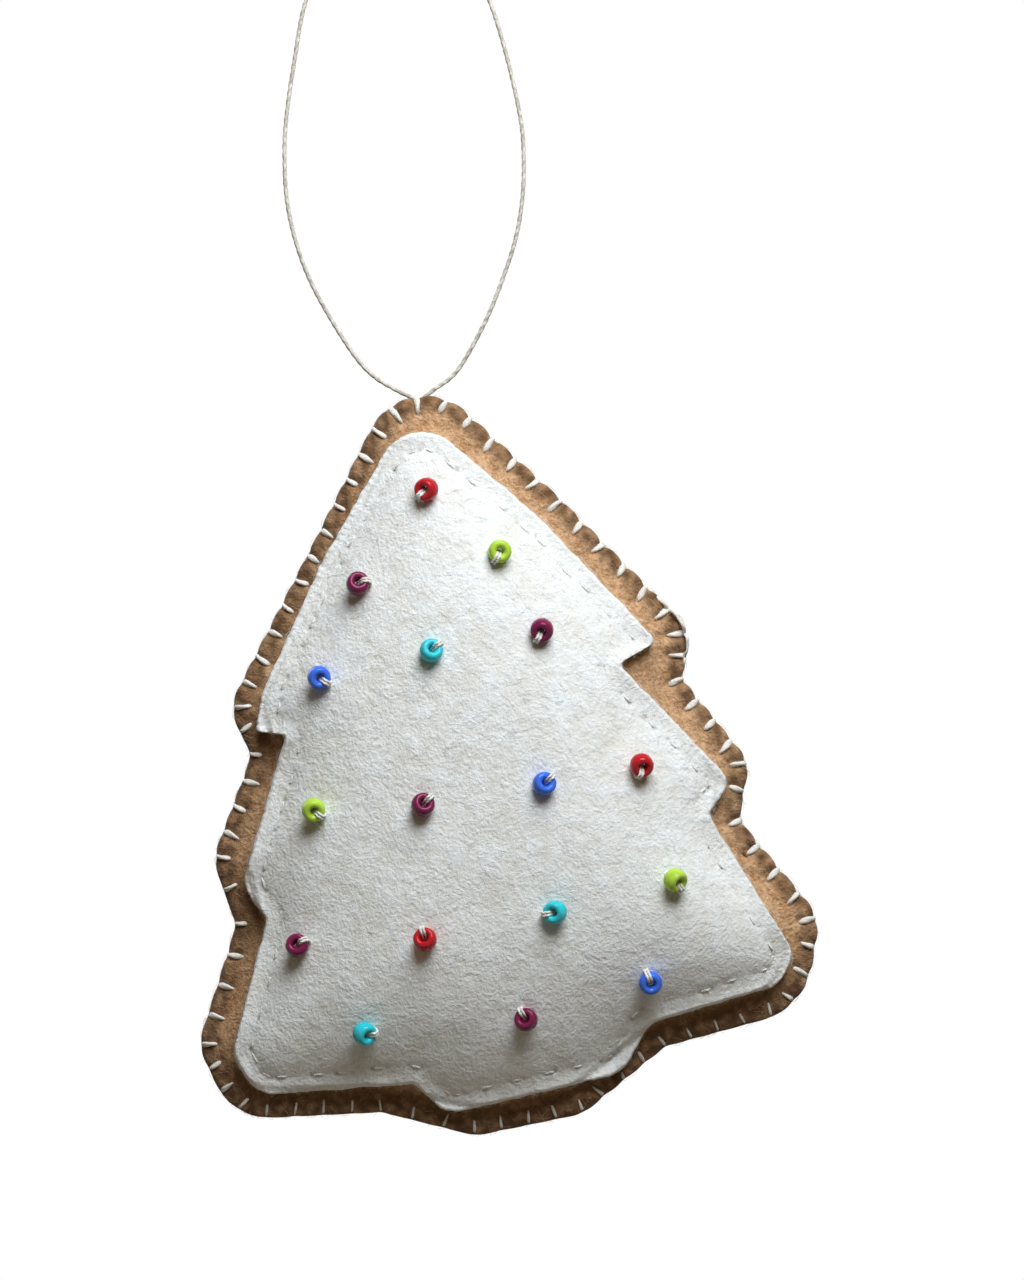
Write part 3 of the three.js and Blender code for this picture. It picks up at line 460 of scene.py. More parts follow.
class TreeForm:
    """The tree upright in its own plane: x across, z up from the tip, and heights out of the seam."""

    def __init__(self, settings):
        self.felt, self.stitch, self.bead = settings.felt, settings.stitch, settings.bead
        self.tree = Outline(TREE_CORNERS, TREE_EDGE)
        self.icing = Outline(ICING_CORNERS, ICING_EDGE)
        places = self.tree.evenly(SEAM_SAMPLE)
        self.seam = self.tree.at(places)
        self.seam_share = self.tree.length / len(places)
        self.sew_edge()
        self.sew_icing()
        self.seat_beads()

    def seam_distance(self, points):
        """Soft distance from the seam."""
        def measure(some):
            squared = ((some[:, None, :] - self.seam[None]) ** 2).sum(2) + (SEAM_SAMPLE / 4) ** 2
            return np.cbrt(math.pi / 2 / (self.seam_share / squared ** 2).sum(1))
        return in_chunks(measure, points)

    def gradient(self, field, points, step=SEAM_SAMPLE / 2):
        shifts = np.array(((step, 0), (0, step)))
        return np.stack([(field(points + s) - field(points - s)) / (2 * step) for s in shifts], axis=1)

    def swell(self, points, crown):
        share = np.clip((self.seam_distance(points) - self.felt.seam_margin) / self.felt.crown_rise, 0, 1)
        return crown * (1 - (1 - share) ** self.felt.fullness)

    def slope(self, points, crown):
        rise = self.gradient(lambda p: self.swell(p, crown), points)
        return np.sqrt(1 + (rise ** 2).sum(1))

    def sew_edge(self):
        """Blanket stitches on every corner of the outline and evenly between, uneven as by hand."""
        rng = np.random.RandomState(SEED)
        start = self.tree.marks[0]
        marks = sorted((mark - start) % self.tree.length for mark in self.tree.marks)
        places = []
        for mark, following in zip(marks, marks[1:] + [self.tree.length]):
            count = max(1, round((following - mark) / self.stitch.pitch))
            places += [start + mark + (following - mark) * k / count for k in range(count)]
        self.places = np.array(places)
        out = self.tree.outward(self.places)
        self.firm = firmness_and_light(out)
        self.thick = 0.9 + 0.2 * self.firm - 0.42 * np.clip(-out[:, 1], 0, 1) ** 2
        self.pulls = rng.uniform(0.5, 1.05, len(places)) * (0.15 + 0.85 * self.firm)
        drawn = self.felt.edge_pull * (0.25 + 0.6 * self.firm) + SLACK_PULL * (1 - self.firm)
        self.rims = self.tree.at(self.places) - out * drawn[:, None]
        reach = self.stitch.bite * (0.86 + 0.14 * self.firm) * rng.uniform(0.82, 1.15, len(places))
        self.bites = self.step_in(self.tree.at(self.places) - out * STEP_OFF_EDGE, reach)
        slant = rng.uniform(-STITCH_SLANT, STITCH_SLANT, len(places))
        self.bites = self.bites + sideways(out) * slant[:, None]

    def step_in(self, points, reach):
        """Straight in from the edge until a reach is met or the white panel is near."""
        points = points.copy()
        moving = np.ones(len(points), bool)
        step = SEAM_SAMPLE / 20
        while moving.any():
            near = distance_from(points, self.icing.points)
            moving &= (self.seam_distance(points) < reach) & (near > self.stitch.bite_room)
            inward = self.gradient(self.seam_distance, points)
            inward /= np.linalg.norm(inward, axis=1, keepdims=True)
            points[moving] += inward[moving] * step
        return points

    def sew_icing(self):
        """Ends of the running stitches inside the edge of the white panel, and their needle holes."""
        rng = np.random.RandomState(SEED + 1)
        count = round(self.icing.length / self.stitch.run_pitch)
        middles = (np.arange(count) + rng.uniform(-0.12, 0.12, count)) * self.icing.length / count
        inset = self.stitch.run_inset * rng.uniform(0.9, 1.08, count)
        out = self.icing.outward(middles)
        at = self.icing.at(middles) - out * inset[:, None]
        half = sideways(out) * (self.stitch.run_length * rng.uniform(0.42, 0.56, count))[:, None]
        clear = distance_from(at, self.icing.points) > self.stitch.run_inset * 0.8
        self.dash_starts, self.dash_ends = (at - half)[clear], (at + half)[clear]
        self.holes = np.vstack([self.dash_starts, self.dash_ends])
        self.hole_depths = rng.uniform(0.05, 0.75, len(self.holes))

    def pinch(self, points):
        """How strongly the nearest blanket stitch draws the felt down, from 0 to about 1."""
        def measure(some):
            apart = from_segments(some, self.rims, self.bites)
            return (self.pulls * hump(apart, PINCH_WIDTH)).max(1)
        return in_chunks(measure, points)

    def lobes(self, points):
        """Puffs of the edge between the stitches, dents under them, and the edge rolled back."""
        inside = self.seam_distance(points)
        pinch = self.pinch(points)
        gather = ramp(inside, *GATHER_START) * (1 - ramp(inside, *GATHER_END))
        swell = self.felt.lobe_swell
        rolled = self.felt.rim_droop * np.clip(1 - inside / self.felt.seam_margin, 0, 1) ** 1.5
        puff = (1 - ramp(inside, *PUFF_END)) * (swell - (swell + self.felt.stitch_sink) * pinch)
        return puff - gather * GATHER_DEPTH * pinch - rolled

    def uneven(self, points, seed):
        coarse = wobble(points, 0.0062, seed) + 0.5 * wobble(points, 0.0023, seed + 3)
        return self.felt.unevenness * coarse

    def inner(self, points, crown):
        """The hidden face of an outer panel, hollowed at the tip where the cord swings."""
        near_tip = 1 - ramp(np.hypot(*points.T), *CORD_HOLLOW)
        return self.felt.layer_gap * 0.2 + self.felt.cord_room * near_tip + self.swell(points, crown)

    def front_inner(self, points):
        return self.inner(points, self.felt.front_crown)

    def back_inner(self, points):
        return self.inner(points, self.felt.back_crown)

    def outer(self, points, crown, seed):
        base = self.felt.layer_gap / 2 + self.swell(points, crown)
        thick = self.felt.thickness * self.slope(points, crown)
        full = base + thick + self.lobes(points) + self.uneven(points, seed)
        return np.maximum(full, base + 0.25 * self.felt.thickness)

    def front_outer(self, points):
        return self.outer(points, self.felt.front_crown, 1.0)

    def back_outer(self, points):
        return self.outer(points, self.felt.back_crown, 9.0)

    def from_icing_edge(self, points):
        return in_chunks(lambda some: distance_from(some, self.icing.points[::3]), points)

    def icing_bottom(self, points):
        """The white panel lies on the front and stands off outside its running stitch."""
        flare = np.clip(1 - self.from_icing_edge(points) / self.stitch.run_inset, 0, 1) ** 2
        return self.front_outer(points) + self.felt.icing_gap + self.felt.icing_flare * flare

    def icing_plain(self, points):
        thick = self.felt.icing_thickness * self.slope(points, self.felt.front_crown)
        return self.icing_bottom(points) + thick

    def icing_top(self, points):
        """The white panel drawn down along its running stitch, at the needle holes and under beads."""
        edge = self.from_icing_edge(points)
        dash = in_chunks(lambda some: from_segments(some, self.dash_starts, self.dash_ends).min(1), points)
        height = self.icing_plain(points)
        height += RIM_LIFT[0] * hump(edge - RIM_LIFT[1], RIM_LIFT[1])
        height -= LINE_DENT[0] * hump(edge - self.stitch.run_inset, LINE_DENT[1])
        height -= DASH_DENT[0] * hump(dash, DASH_DENT[1])
        height -= HOLE_DENT[0] * self.needle_holes(points)
        for place, depth in zip(self.bead_places, self.bead_dents):
            height += depth * hump(np.hypot(*(points - place).T), BEAD_DENT_WIDTH)
        return height

    def needle_holes(self, points):
        """Strength of the nearest needle hole of the running stitch, 0 a little way off; it sets the dent and
        the painted shade in the hole.
        """
        def measure(some):
            apart = np.linalg.norm(some[:, None] - self.holes[None], axis=2)
            return (self.hole_depths * hump(apart, HOLE_DENT[1])).max(1)
        return in_chunks(measure, points)

    def pressed_edge(self, points):
        """Painted shade: towards 1 in patches on the rolled edge of the outer panels, widest and darkest
        where it is slack and faces away from the key lamp.
        """
        def measure(some):
            near = np.linalg.norm(some[:, None] - self.tree.points[None, ::4], axis=2).argmin(1)
            return 1 - firmness_and_light(self.tree.out[::4][near])
        shaded_side = in_chunks(measure, points)
        rolled = 1 - ramp(self.seam_distance(points), EDGE_SHADE_START, EDGE_SHADE_WIDTH + SHADED_SIDE_WIDTH * shaded_side)
        return rolled * np.clip(0.72 + 0.12 * shaded_side + 0.7 * wobble(points, EDGE_SHADE_PATCH, 5.0), 0, 1)

    def seat_beads(self):
        """Place, axis and thread side of every bead from the frame, and the dent that it sits in."""
        half_width, half_height = self.bead.diameter / 2, self.bead.height / 2
        round_off = min(half_height, (self.bead.diameter - self.bead.hole) / 4) * 0.9
        self.beads, seats = [], []
        for name in BEAD_NODES:
            points = from_row([vertex.co for vertex in frame["nodes"][name].data.vertices])
            centre = from_row(np.mean(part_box(name), axis=0))
            spread, axes = np.linalg.eigh(np.cov((points - centre).T))
            odd = 0 if abs(spread[1] - spread[0]) > abs(spread[2] - spread[1]) else 2
            axis = axes[:, odd] * -np.sign(axes[1, odd])
            rise = self.gradient(lambda p: self.swell(p, self.felt.front_crown), centre[[0, 2]][None])[0]
            normal = np.array((-rise[0], -1, -rise[1]))
            normal /= np.linalg.norm(normal)
            side = axis - normal * (axis @ normal)
            self.beads.append({
                "node": name, "centre": centre, "axis": axis, "side": side / np.linalg.norm(side),
            })
            lean = math.acos(np.clip(axis @ normal, -1, 1))
            depth = (half_width - round_off) * math.sin(lean) + (half_height - round_off) * math.cos(lean)
            seats.append(centre - normal * (depth + round_off - self.bead.sink))
        seats = np.array(seats)
        self.bead_places = seats[:, [0, 2]]
        self.bead_dents = -seats[:, 1] - self.icing_plain(self.bead_places)


FORMS = {}


def tree_form(settings):
    """The shape of the tree, worked out once for each set of sizes."""
    groups = (settings.felt, settings.stitch, settings.bead)
    values = [getattr(group, name) for group in groups for name in group.__annotations__]
    sizes = tuple(tuple(value) if hasattr(value, "__len__") else value for value in values)
    if sizes not in FORMS:
        FORMS[sizes] = TreeForm(settings)
    return FORMS[sizes]


def lean_matrix():
    """Turn of the tree about its tip, from upright to its lean at rest."""
    angle = -bpy.context.scene.felt_tree.felt.lean
    c, s = math.cos(angle), math.sin(angle)
    return np.array(((c, 0, s), (0, 1, 0), (-s, 0, c)))


def to_row(points):
    """Points of the upright tree in the frame of the whole ornament."""
    return np.asarray(points) @ lean_matrix().T + TIP


def from_row(points):
    """Points of the whole ornament in the frame of the upright tree."""
    return (np.asarray(points) - TIP) @ lean_matrix()


def at_height(points, heights, face):
    """Points of the plane of the tree at heights on its front (-1) or back (1)."""
    return np.stack([points[:, 0], face * heights, points[:, 1]], axis=1)


def new_piece(name, mesh, material, body, slot, *nodes):
    """A finished mesh as a piece that rides on a body and stands for CAD nodes."""
    piece = bpy.data.objects.new(name, mesh)
    bpy.context.scene.collection.objects.link(piece)
    mesh.materials.clear()
    mesh.materials.append(material)
    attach(piece, body)
    if nodes:
        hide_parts(*nodes)
    return piece


def closed_mesh(name, vertices, faces):
    """A smooth mesh with its faces pointing outwards."""
    mesh = bpy.data.meshes.new(name)
    mesh.from_pydata([tuple(v) for v in vertices], [], faces)
    work = bmesh.new()
    work.from_mesh(mesh)
    bmesh.ops.recalc_face_normals(work, faces=work.faces)
    work.to_mesh(mesh)
    work.free()
    mesh.polygons.foreach_set("use_smooth", [True] * len(mesh.polygons))
    mesh.update()
    return mesh


# Stations of a panel's section: way in from the edge, share of the way from there to the middle of
# the tree, and share of the panel's thickness.
LOFT_START = 0.008
HIDDEN_FACE = [
    *((LOFT_START, share, 0.0) for share in (0.8, 0.55, 0.3)),
    *((offset, 0.0, 0.0) for offset in (LOFT_START, 0.004, 0.0018)),
]
FELT_RIM = [
    (0.0007, 0.0, 0.0), (0.0002, 0.0, 0.03), (0.00004, 0.0, 0.2), (0.0, 0.0, 0.42), (0.00005, 0.0, 0.62),
    (0.0002, 0.0, 0.8), (0.00042, 0.0, 0.92), (0.00072, 0.0, 0.98), (0.00105, 0.0, 1.0),
]
CUT_RIM = [(0.5 * offset, share, height) for offset, share, height in FELT_RIM] + [(0.0008, 0.0, 1.0)]
NEAR_EDGE = [(offset, 0.0, 1.0) for offset in (
    0.0014, 0.00175, 0.0021, 0.0024, 0.0027, 0.003, 0.0034, 0.0038, 0.0043, 0.0049, 0.0056, 0.0064, 0.0072,
    LOFT_START,
)]
ICING_NEAR_EDGE = [(offset, 0.0, 1.0) for offset in (
    0.0013, 0.0016, 0.00185, 0.0021, 0.0023, 0.0025, 0.00275, 0.003, 0.0033, 0.0037, 0.0042, 0.0048, 0.0056,
    0.0064, 0.0072, LOFT_START,
)]
UNDER_ICING = [(LOFT_START, share, 1.0) for share in (0.15, 0.4, 0.7)]


def inner_rings(count):
    """Stations evenly on to the middle of the tree."""
    return [(LOFT_START, (k + 1) / (count + 1), 1.0) for k in range(count)]


def panel_mesh(name, outline, stations, bottom, top, face, bulge, shade_to_paint=None):
    """A closed panel between two heights, over rings drawn in from an outline."""
    towards = LOFT_CENTRE - outline.points
    reach = np.linalg.norm(towards, axis=1, keepdims=True)
    towards = towards / reach
    rings = []
    for offset, share, _ in stations:
        way = offset + share * (reach - offset)
        fade = math.exp(-offset / EDGE_FADE) if share == 0 else 0.0
        rings.append(outline.points + towards * way + outline.out * bulge[:, None] * fade)
    flat = np.concatenate(rings)
    low, high = bottom(flat), top(flat)
    shares = np.repeat([share for _, _, share in stations], len(outline.points))
    vertices = list(at_height(flat, low + (high - low) * shares, face))
    middle = LOFT_CENTRE[None]
    vertices.append(at_height(middle, bottom(middle), face)[0])
    vertices.append(at_height(middle, top(middle), face)[0])
    count = len(outline.points)
    last = len(stations) - 1
    first_middle, last_middle = len(flat), len(flat) + 1
    faces = []
    for j in range(count):
        following = (j + 1) % count
        faces.append((first_middle, j, following))
        faces.append((last_middle, last * count + following, last * count + j))
        for k in range(last):
            here, beyond = k * count, (k + 1) * count
            faces.append((here + j, beyond + j, beyond + following, here + following))
    mesh = closed_mesh(name, to_row(np.array(vertices)), faces)
    # Painted shade, kept as an attribute that darkens the felt's colour.
    if shade_to_paint:
        depth = np.append(shade_to_paint(flat), (0, 0))
        mesh.attributes.new(FELT_PAINTED_SHADE, "FLOAT", "POINT").data.foreach_set("value", depth)
    return mesh


def edge_bulge(form):
    """How far the edge stands out between the stitches and is drawn in at them."""
    apart = np.mod(np.abs(form.tree.places[:, None] - form.places[None]), form.tree.length)
    apart = np.minimum(apart, form.tree.length - apart)
    drawn = (form.pulls * hump(apart, EDGE_PINCH_WIDTH)).max(1)
    return form.felt.edge_pull * (0.35 - 1.25 * drawn)


def smooth_path(points, step):
    """A path through points, rounded between them, with even steps; a fourth column is a thickness."""
    points = np.asarray(points, float)
    padded = np.vstack([2 * points[0] - points[1], points, 2 * points[-1] - points[-2]])
    parts = []
    for a, b, c, d in zip(padded, padded[1:], padded[2:], padded[3:]):
        t = np.linspace(0, 1, 10, endpoint=False)[:, None]
        parts.append(0.5 * (2 * b + (c - a) * t + (2 * a - 5 * b + 4 * c - d) * t ** 2
                            + (3 * b - a - 3 * c + d) * t ** 3))
    path = np.vstack([*parts, points[-1:]])
    along = np.concatenate([[0], np.cumsum(np.linalg.norm(np.diff(path[:, :3], axis=0), axis=1))])
    even = np.linspace(0, along[-1], max(4, round(along[-1] / step)))
    return np.stack([np.interp(even, along, path[:, k]) for k in range(path.shape[1])], axis=1)


def feed(tree, socket, value):
    """Give an input a plain value, or another node's output."""
    if isinstance(value, bpy.types.NodeSocket):
        tree.links.new(value, socket)
    else:
        socket.default_value = value


def node(tree, kind, *inputs, **named):
    """A node with its first inputs in order, and by name its settings (small letters) and other inputs."""
    made = tree.nodes.new(kind)
    for name, value in named.items():
        if name.islower():
            setattr(made, name, value)
    for socket, value in zip(made.inputs, inputs):
        feed(tree, socket, value)
    for name, value in named.items():
        if not name.islower():
            feed(tree, made.inputs[name.replace("_", " ")], value)
    return made


def math_node(tree, operation, *inputs):
    return node(tree, "ShaderNodeMath", *inputs, operation=operation).outputs[0]


def vector_node(tree, operation, *inputs, **named):
    return node(tree, "ShaderNodeVectorMath", *inputs, operation=operation, **named).outputs[0]


def random_between(tree, low, high, **named):
    """A random number for each point."""
    made = node(tree, "FunctionNodeRandomValue", data_type="FLOAT", **named)
    feed(tree, made.inputs[2], low)
    feed(tree, made.inputs[3], high)
    return made.outputs[1]


def new_group(name, kind, inputs, output):
    """A node group with named inputs (kind and default for each) and one output, and both inner ends."""
    group = bpy.data.node_groups.new(name, kind)
    for label, (socket_kind, default) in inputs.items():
        socket = group.interface.new_socket(label, in_out="INPUT", socket_type="NodeSocket" + socket_kind)
        if default is not None:
            socket.default_value = default
    label, socket_kind = output
    group.interface.new_socket(label, in_out="OUTPUT", socket_type="NodeSocket" + socket_kind)
    given = group.nodes.new("NodeGroupInput")
    result = group.nodes.new("NodeGroupOutput")
    return group, given.outputs, result.inputs[0]


def thread_tree():
    """Twisted thread along curves: plies that wind round each other, closed at both ends."""
    sides = 12
    tree, given, result = new_group("twisted_thread", "GeometryNodeTree", {
        "Geometry": ("Geometry", None), "Radius": ("Float", 0.0003), "Plies": ("Int", THREAD_PLIES),
        "Ply Depth": ("Float", 0.2), "Turns": ("Float", 700.0), "Material": ("Material", None),
    }, ("Geometry", "Geometry"))
    profile = node(tree, "GeometryNodeCurvePrimitiveCircle", Resolution=sides, Radius=given["Radius"])
    index = node(tree, "GeometryNodeInputIndex").outputs[0]
    angle = math_node(tree, "MULTIPLY", index, given["Plies"])
    angle = math_node(tree, "MULTIPLY", angle, 2 * math.pi / sides)
    depth = math_node(tree, "MULTIPLY", math_node(tree, "COSINE", angle), given["Ply Depth"])
    position = node(tree, "GeometryNodeInputPosition").outputs[0]
    shift = vector_node(tree, "SCALE", position, Scale=depth)
    lobed = node(tree, "GeometryNodeSetPosition", Geometry=profile.outputs[0], Offset=shift)
    along = node(tree, "GeometryNodeSplineParameter").outputs["Length"]
    turn = math_node(tree, "MULTIPLY", along, given["Turns"])
    turn = math_node(tree, "MULTIPLY", turn, 2 * math.pi)
    tilt = node(tree, "GeometryNodeSetCurveTilt", given["Geometry"], Tilt=turn)
    thickness = node(tree, "GeometryNodeInputRadius").outputs[0]
    sweep = node(
        tree, "GeometryNodeCurveToMesh", Curve=tilt.outputs[0], Profile_Curve=lobed.outputs[0],
        Scale=thickness, Fill_Caps=True,
    )
    finish_tree(tree, sweep.outputs[0], given["Material"], result)
    return tree


def finish_tree(tree, geometry, material, result):
    """Real instances, smooth shading and the material."""
    real = node(tree, "GeometryNodeRealizeInstances", geometry)
    smooth = node(tree, "GeometryNodeSetShadeSmooth", real.outputs[0])
    dressed = node(tree, "GeometryNodeSetMaterial", Geometry=smooth.outputs[0], Material=material)
    feed(tree, result, dressed.outputs[0])


def fuzz_tree():
    """Loose fibres that arch over a felt surface, mostly across."""
    tree, given, result = new_group("felt_fuzz", "GeometryNodeTree", {
        "Geometry": ("Geometry", None), "Density": ("Float", 1.0), "Length": ("Float", 0.0017),
        "Radius": ("Float", 0.00002), "Spread": ("Float", 0.9), "Seed": ("Int", SEED),
        "Material": ("Material", None),
    }, ("Geometry", "Geometry"))
    spots = node(
        tree, "GeometryNodeDistributePointsOnFaces", distribute_method="RANDOM", Mesh=given["Geometry"],
        Density=given["Density"], Seed=given["Seed"],
    )
    arch = node(
        tree, "GeometryNodeCurveQuadraticBezier", Resolution=3, Start=(-0.5, 0, -0.06),
        Middle=(0.05, 0.12, 0.34), End=(0.5, 0, 0.1),
    )
    scale = node(tree, "ShaderNodeCombineXYZ", *[given["Length"]] * 3)
    longer = node(tree, "GeometryNodeTransform", Geometry=arch.outputs[0], Scale=scale.outputs[0])
    ring = node(tree, "GeometryNodeCurvePrimitiveCircle", Resolution=3, Radius=given["Radius"])
    sweep = node(
        tree, "GeometryNodeCurveToMesh", Curve=longer.outputs[0], Profile_Curve=ring.outputs[0],
        Fill_Caps=True,
    )
    lowest = math_node(tree, "MULTIPLY", given["Spread"], -1.0)
    turn = random_between(tree, lowest, given["Spread"], Seed=given["Seed"])
    euler = node(tree, "ShaderNodeCombineXYZ", Y=turn)
    upright = node(tree, "FunctionNodeEulerToRotation", euler.outputs[0])
    lie = node(
        tree, "FunctionNodeAlignRotationToVector", axis="Z", Rotation=upright.outputs[0],
        Vector=spots.outputs["Normal"],
    )
    plant = node(
        tree, "GeometryNodeInstanceOnPoints", Points=spots.outputs["Points"], Instance=sweep.outputs[0],
        Rotation=lie.outputs[0], Scale=random_between(tree, 0.45, 1.25),
    )
    finish_tree(tree, plant.outputs[0], given["Material"], result)
    return tree


def from_tree(name, source, tree, **values):
    """The plain mesh that a geometry node tree makes of a source object's data."""
    holder = bpy.data.objects.new(name + "_source", source)
    bpy.context.scene.collection.objects.link(holder)
    modifier = holder.modifiers.new("nodes", "NODES")
    modifier.node_group = tree
    names = {item.name: item.identifier for item in tree.interface.items_tree if item.in_out == "INPUT"}
    for label, value in values.items():
        modifier[names[label.replace("_", " ")]] = value
    graph = bpy.context.evaluated_depsgraph_get()
    mesh = bpy.data.meshes.new_from_object(holder.evaluated_get(graph), depsgraph=graph)
    mesh.name = name
    bpy.data.objects.remove(holder)
    return mesh


def thread_mesh(name, paths, width, twist, material):
    """Twisted thread along paths in the frame of the whole ornament."""
    curve = bpy.data.curves.new(name + "_route", "CURVE")
    curve.dimensions = "3D"
    for path in paths:
        spline = curve.splines.new("POLY")
        spline.points.add(len(path) - 1)
        spline.points.foreach_set("co", np.column_stack([path[:, :3], np.ones(len(path))]).ravel())
        if path.shape[1] == 4:
            spline.points.foreach_set("radius", path[:, 3])
    depth, turns = twist
    return from_tree(
        name, curve, shared_tree("twisted_thread", thread_tree),
        Radius=width / 2, Plies=THREAD_PLIES, Ply_Depth=depth, Turns=turns, Material=material,
    )


def shared_tree(name, make):
    return bpy.data.node_groups.get(name) or make()


def felt_group():
    """Matted fibres: a soft mottle of several sizes with a few waved streaks."""
    group, given, result = new_group("matted_fibres", "ShaderNodeTree", {
        "Vector": ("Vector", None), "Broad": ("Float", None), "Soft": ("Float", None),
        "Fine": ("Float", None),
    }, ("Height", "Float"))
    wave = node(group, "ShaderNodeTexNoise", Vector=given["Vector"], Scale=190.0, Detail=2.0)
    centred = vector_node(group, "SUBTRACT", wave.outputs["Color"], (0.5, 0.5, 0.5))
    bent = vector_node(group, "SCALE", centred, Scale=0.0014)
    waved = vector_node(group, "ADD", given["Vector"], bent)
    height = STREAK_BASE
    for slant, along, across in STREAKS:
        placed = node(
            group, "ShaderNodeMapping", vector_type="TEXTURE", Vector=waved,
            Rotation=(0, math.radians(slant), 0), Scale=(1 / along, 1 / STREAK_DEPTH_FINENESS, 1 / across),
        )
        streak = node(
            group, "ShaderNodeTexNoise", Vector=placed.outputs[0], Scale=1.0, Detail=1.5, Roughness=0.5
        )
        part = math_node(group, "MULTIPLY", streak.outputs[0], STREAK_WEIGHT / len(STREAKS))
        height = math_node(group, "ADD", height, part)
    for scale, label in ((170.0, "Broad"), (420.0, "Soft"), (1250.0, "Fine"), (2600.0, "Fine")):
        layer = node(group, "ShaderNodeTexNoise", Vector=waved, Scale=scale, Detail=3.0, Roughness=0.55)
        level = math_node(group, "SUBTRACT", layer.outputs[0], 0.5)
        height = math_node(group, "ADD", height, math_node(group, "MULTIPLY", level, given[label]))
    feed(group, result, height)
    return group


def grain_group():
    """Fine grain for thread, cord, filling and glass: a soft mask."""
    group, given, result = new_group("fine_grain", "ShaderNodeTree", {
        "Vector": ("Vector", None), "Scale": ("Float", None),
    }, ("Mask", "Float"))
    grain = node(
        group, "ShaderNodeTexNoise", Vector=given["Vector"], Scale=given["Scale"], Detail=4.0, Roughness=0.6
    )
    spread = node(group, "ShaderNodeMapRange", grain.outputs[0], From_Min=0.35, From_Max=0.65)
    feed(group, result, spread.outputs[0])
    return group


def new_material(name, **sockets):
    """A material with its principled shader and a texture coordinate node."""
    material = bpy.data.materials.new(name)
    material.use_nodes = True
    shader = material.node_tree.nodes["Principled BSDF"]
    for label, value in sockets.items():
        shader.inputs[label.replace("_", " ")].default_value = value
    where = material.node_tree.nodes.new("ShaderNodeTexCoord")
    return material, material.node_tree, shader, where.outputs["Object"]


def blend(tree, mask, low, high):
    """A colour between two, each a plain colour or another node's output."""
    mix = node(tree, "ShaderNodeMix", mask, data_type="RGBA")
    feed(tree, mix.inputs[6], low)
    feed(tree, mix.inputs[7], high)
    return mix.outputs[2]


def opaque(tone):
    return (*tone, 1)


def raise_bump(tree, shader, height, strength, distance):
    bump = node(tree, "ShaderNodeBump", Strength=strength, Distance=distance, Height=height)
    feed(tree, shader.inputs["Normal"], bump.outputs[0])


def felt_material(name, dark, light, painted_shade_share, mottle):
    """Felt mottled in two tones, with painted shade, a share of the dark tone, in needle holes and on the
    rolled edge.
    """
    weights, spread, bump = mottle
    material, tree, shader, where = new_material(
        name, Roughness=0.95, Sheen_Weight=0.25, Sheen_Roughness=0.5, Specular_IOR_Level=0.15
    )
    group = shared_tree("matted_fibres", felt_group)
    height = node(tree, "ShaderNodeGroup", where, *weights, node_tree=group).outputs["Height"]
    mask = node(tree, "ShaderNodeMapRange", height, From_Min=0.5 - spread, From_Max=0.5 + spread)
    base = blend(tree, mask.outputs[0], opaque(dark), opaque(light))
    raise_bump(tree, shader, height, FELT_BUMP, bump)
    # Painted shade: the attribute darkens the colour towards a share of the dark tone.
    shaded = node(tree, "ShaderNodeAttribute", attribute_name=FELT_PAINTED_SHADE).outputs["Fac"]
    deep = opaque(shade(dark, painted_shade_share))
    feed(tree, shader.inputs["Base Color"], blend(tree, shaded, base, deep))
    return material


def grained_material(name, dark, light, scale, bump, **sockets):
    """Two tones in a fine grain, which also roughens the surface where a bump is given."""
    material, tree, shader, where = new_material(name, **sockets)
    group = shared_tree("fine_grain", grain_group)
    mask = node(tree, "ShaderNodeGroup", where, scale, node_tree=group).outputs["Mask"]
    feed(tree, shader.inputs["Base Color"], blend(tree, mask, opaque(dark), opaque(light)))
    if bump > 0:
        raise_bump(tree, shader, mask, bump, GRAIN_DEPTH)
    return material


def shade(tone, factor):
    return tuple(min(1.0, channel * factor) for channel in tone)


def thread_material(name, tone):
    return grained_material(
        name, shade(tone, 0.72), tone, 4200.0, 0.25, Roughness=0.7, Sheen_Weight=0.15, Specular_IOR_Level=0.3
    )


def fibre_material(name, tone):
    return grained_material(name, shade(tone, 0.8), tone, 900.0, 0.0, Roughness=0.85, Sheen_Weight=0.2)


def glass_material(name, tone):
    return grained_material(
        name, shade(tone, 0.86), shade(tone, 1.06), 1300.0, 0.0, Roughness=0.05, Specular_IOR_Level=0.2
    )


def cord_material(cord):
    return grained_material(
        "flax_cord", cord.dark, cord.light, 1500.0, 0.35, Roughness=0.75, Specular_IOR_Level=0.3
    )


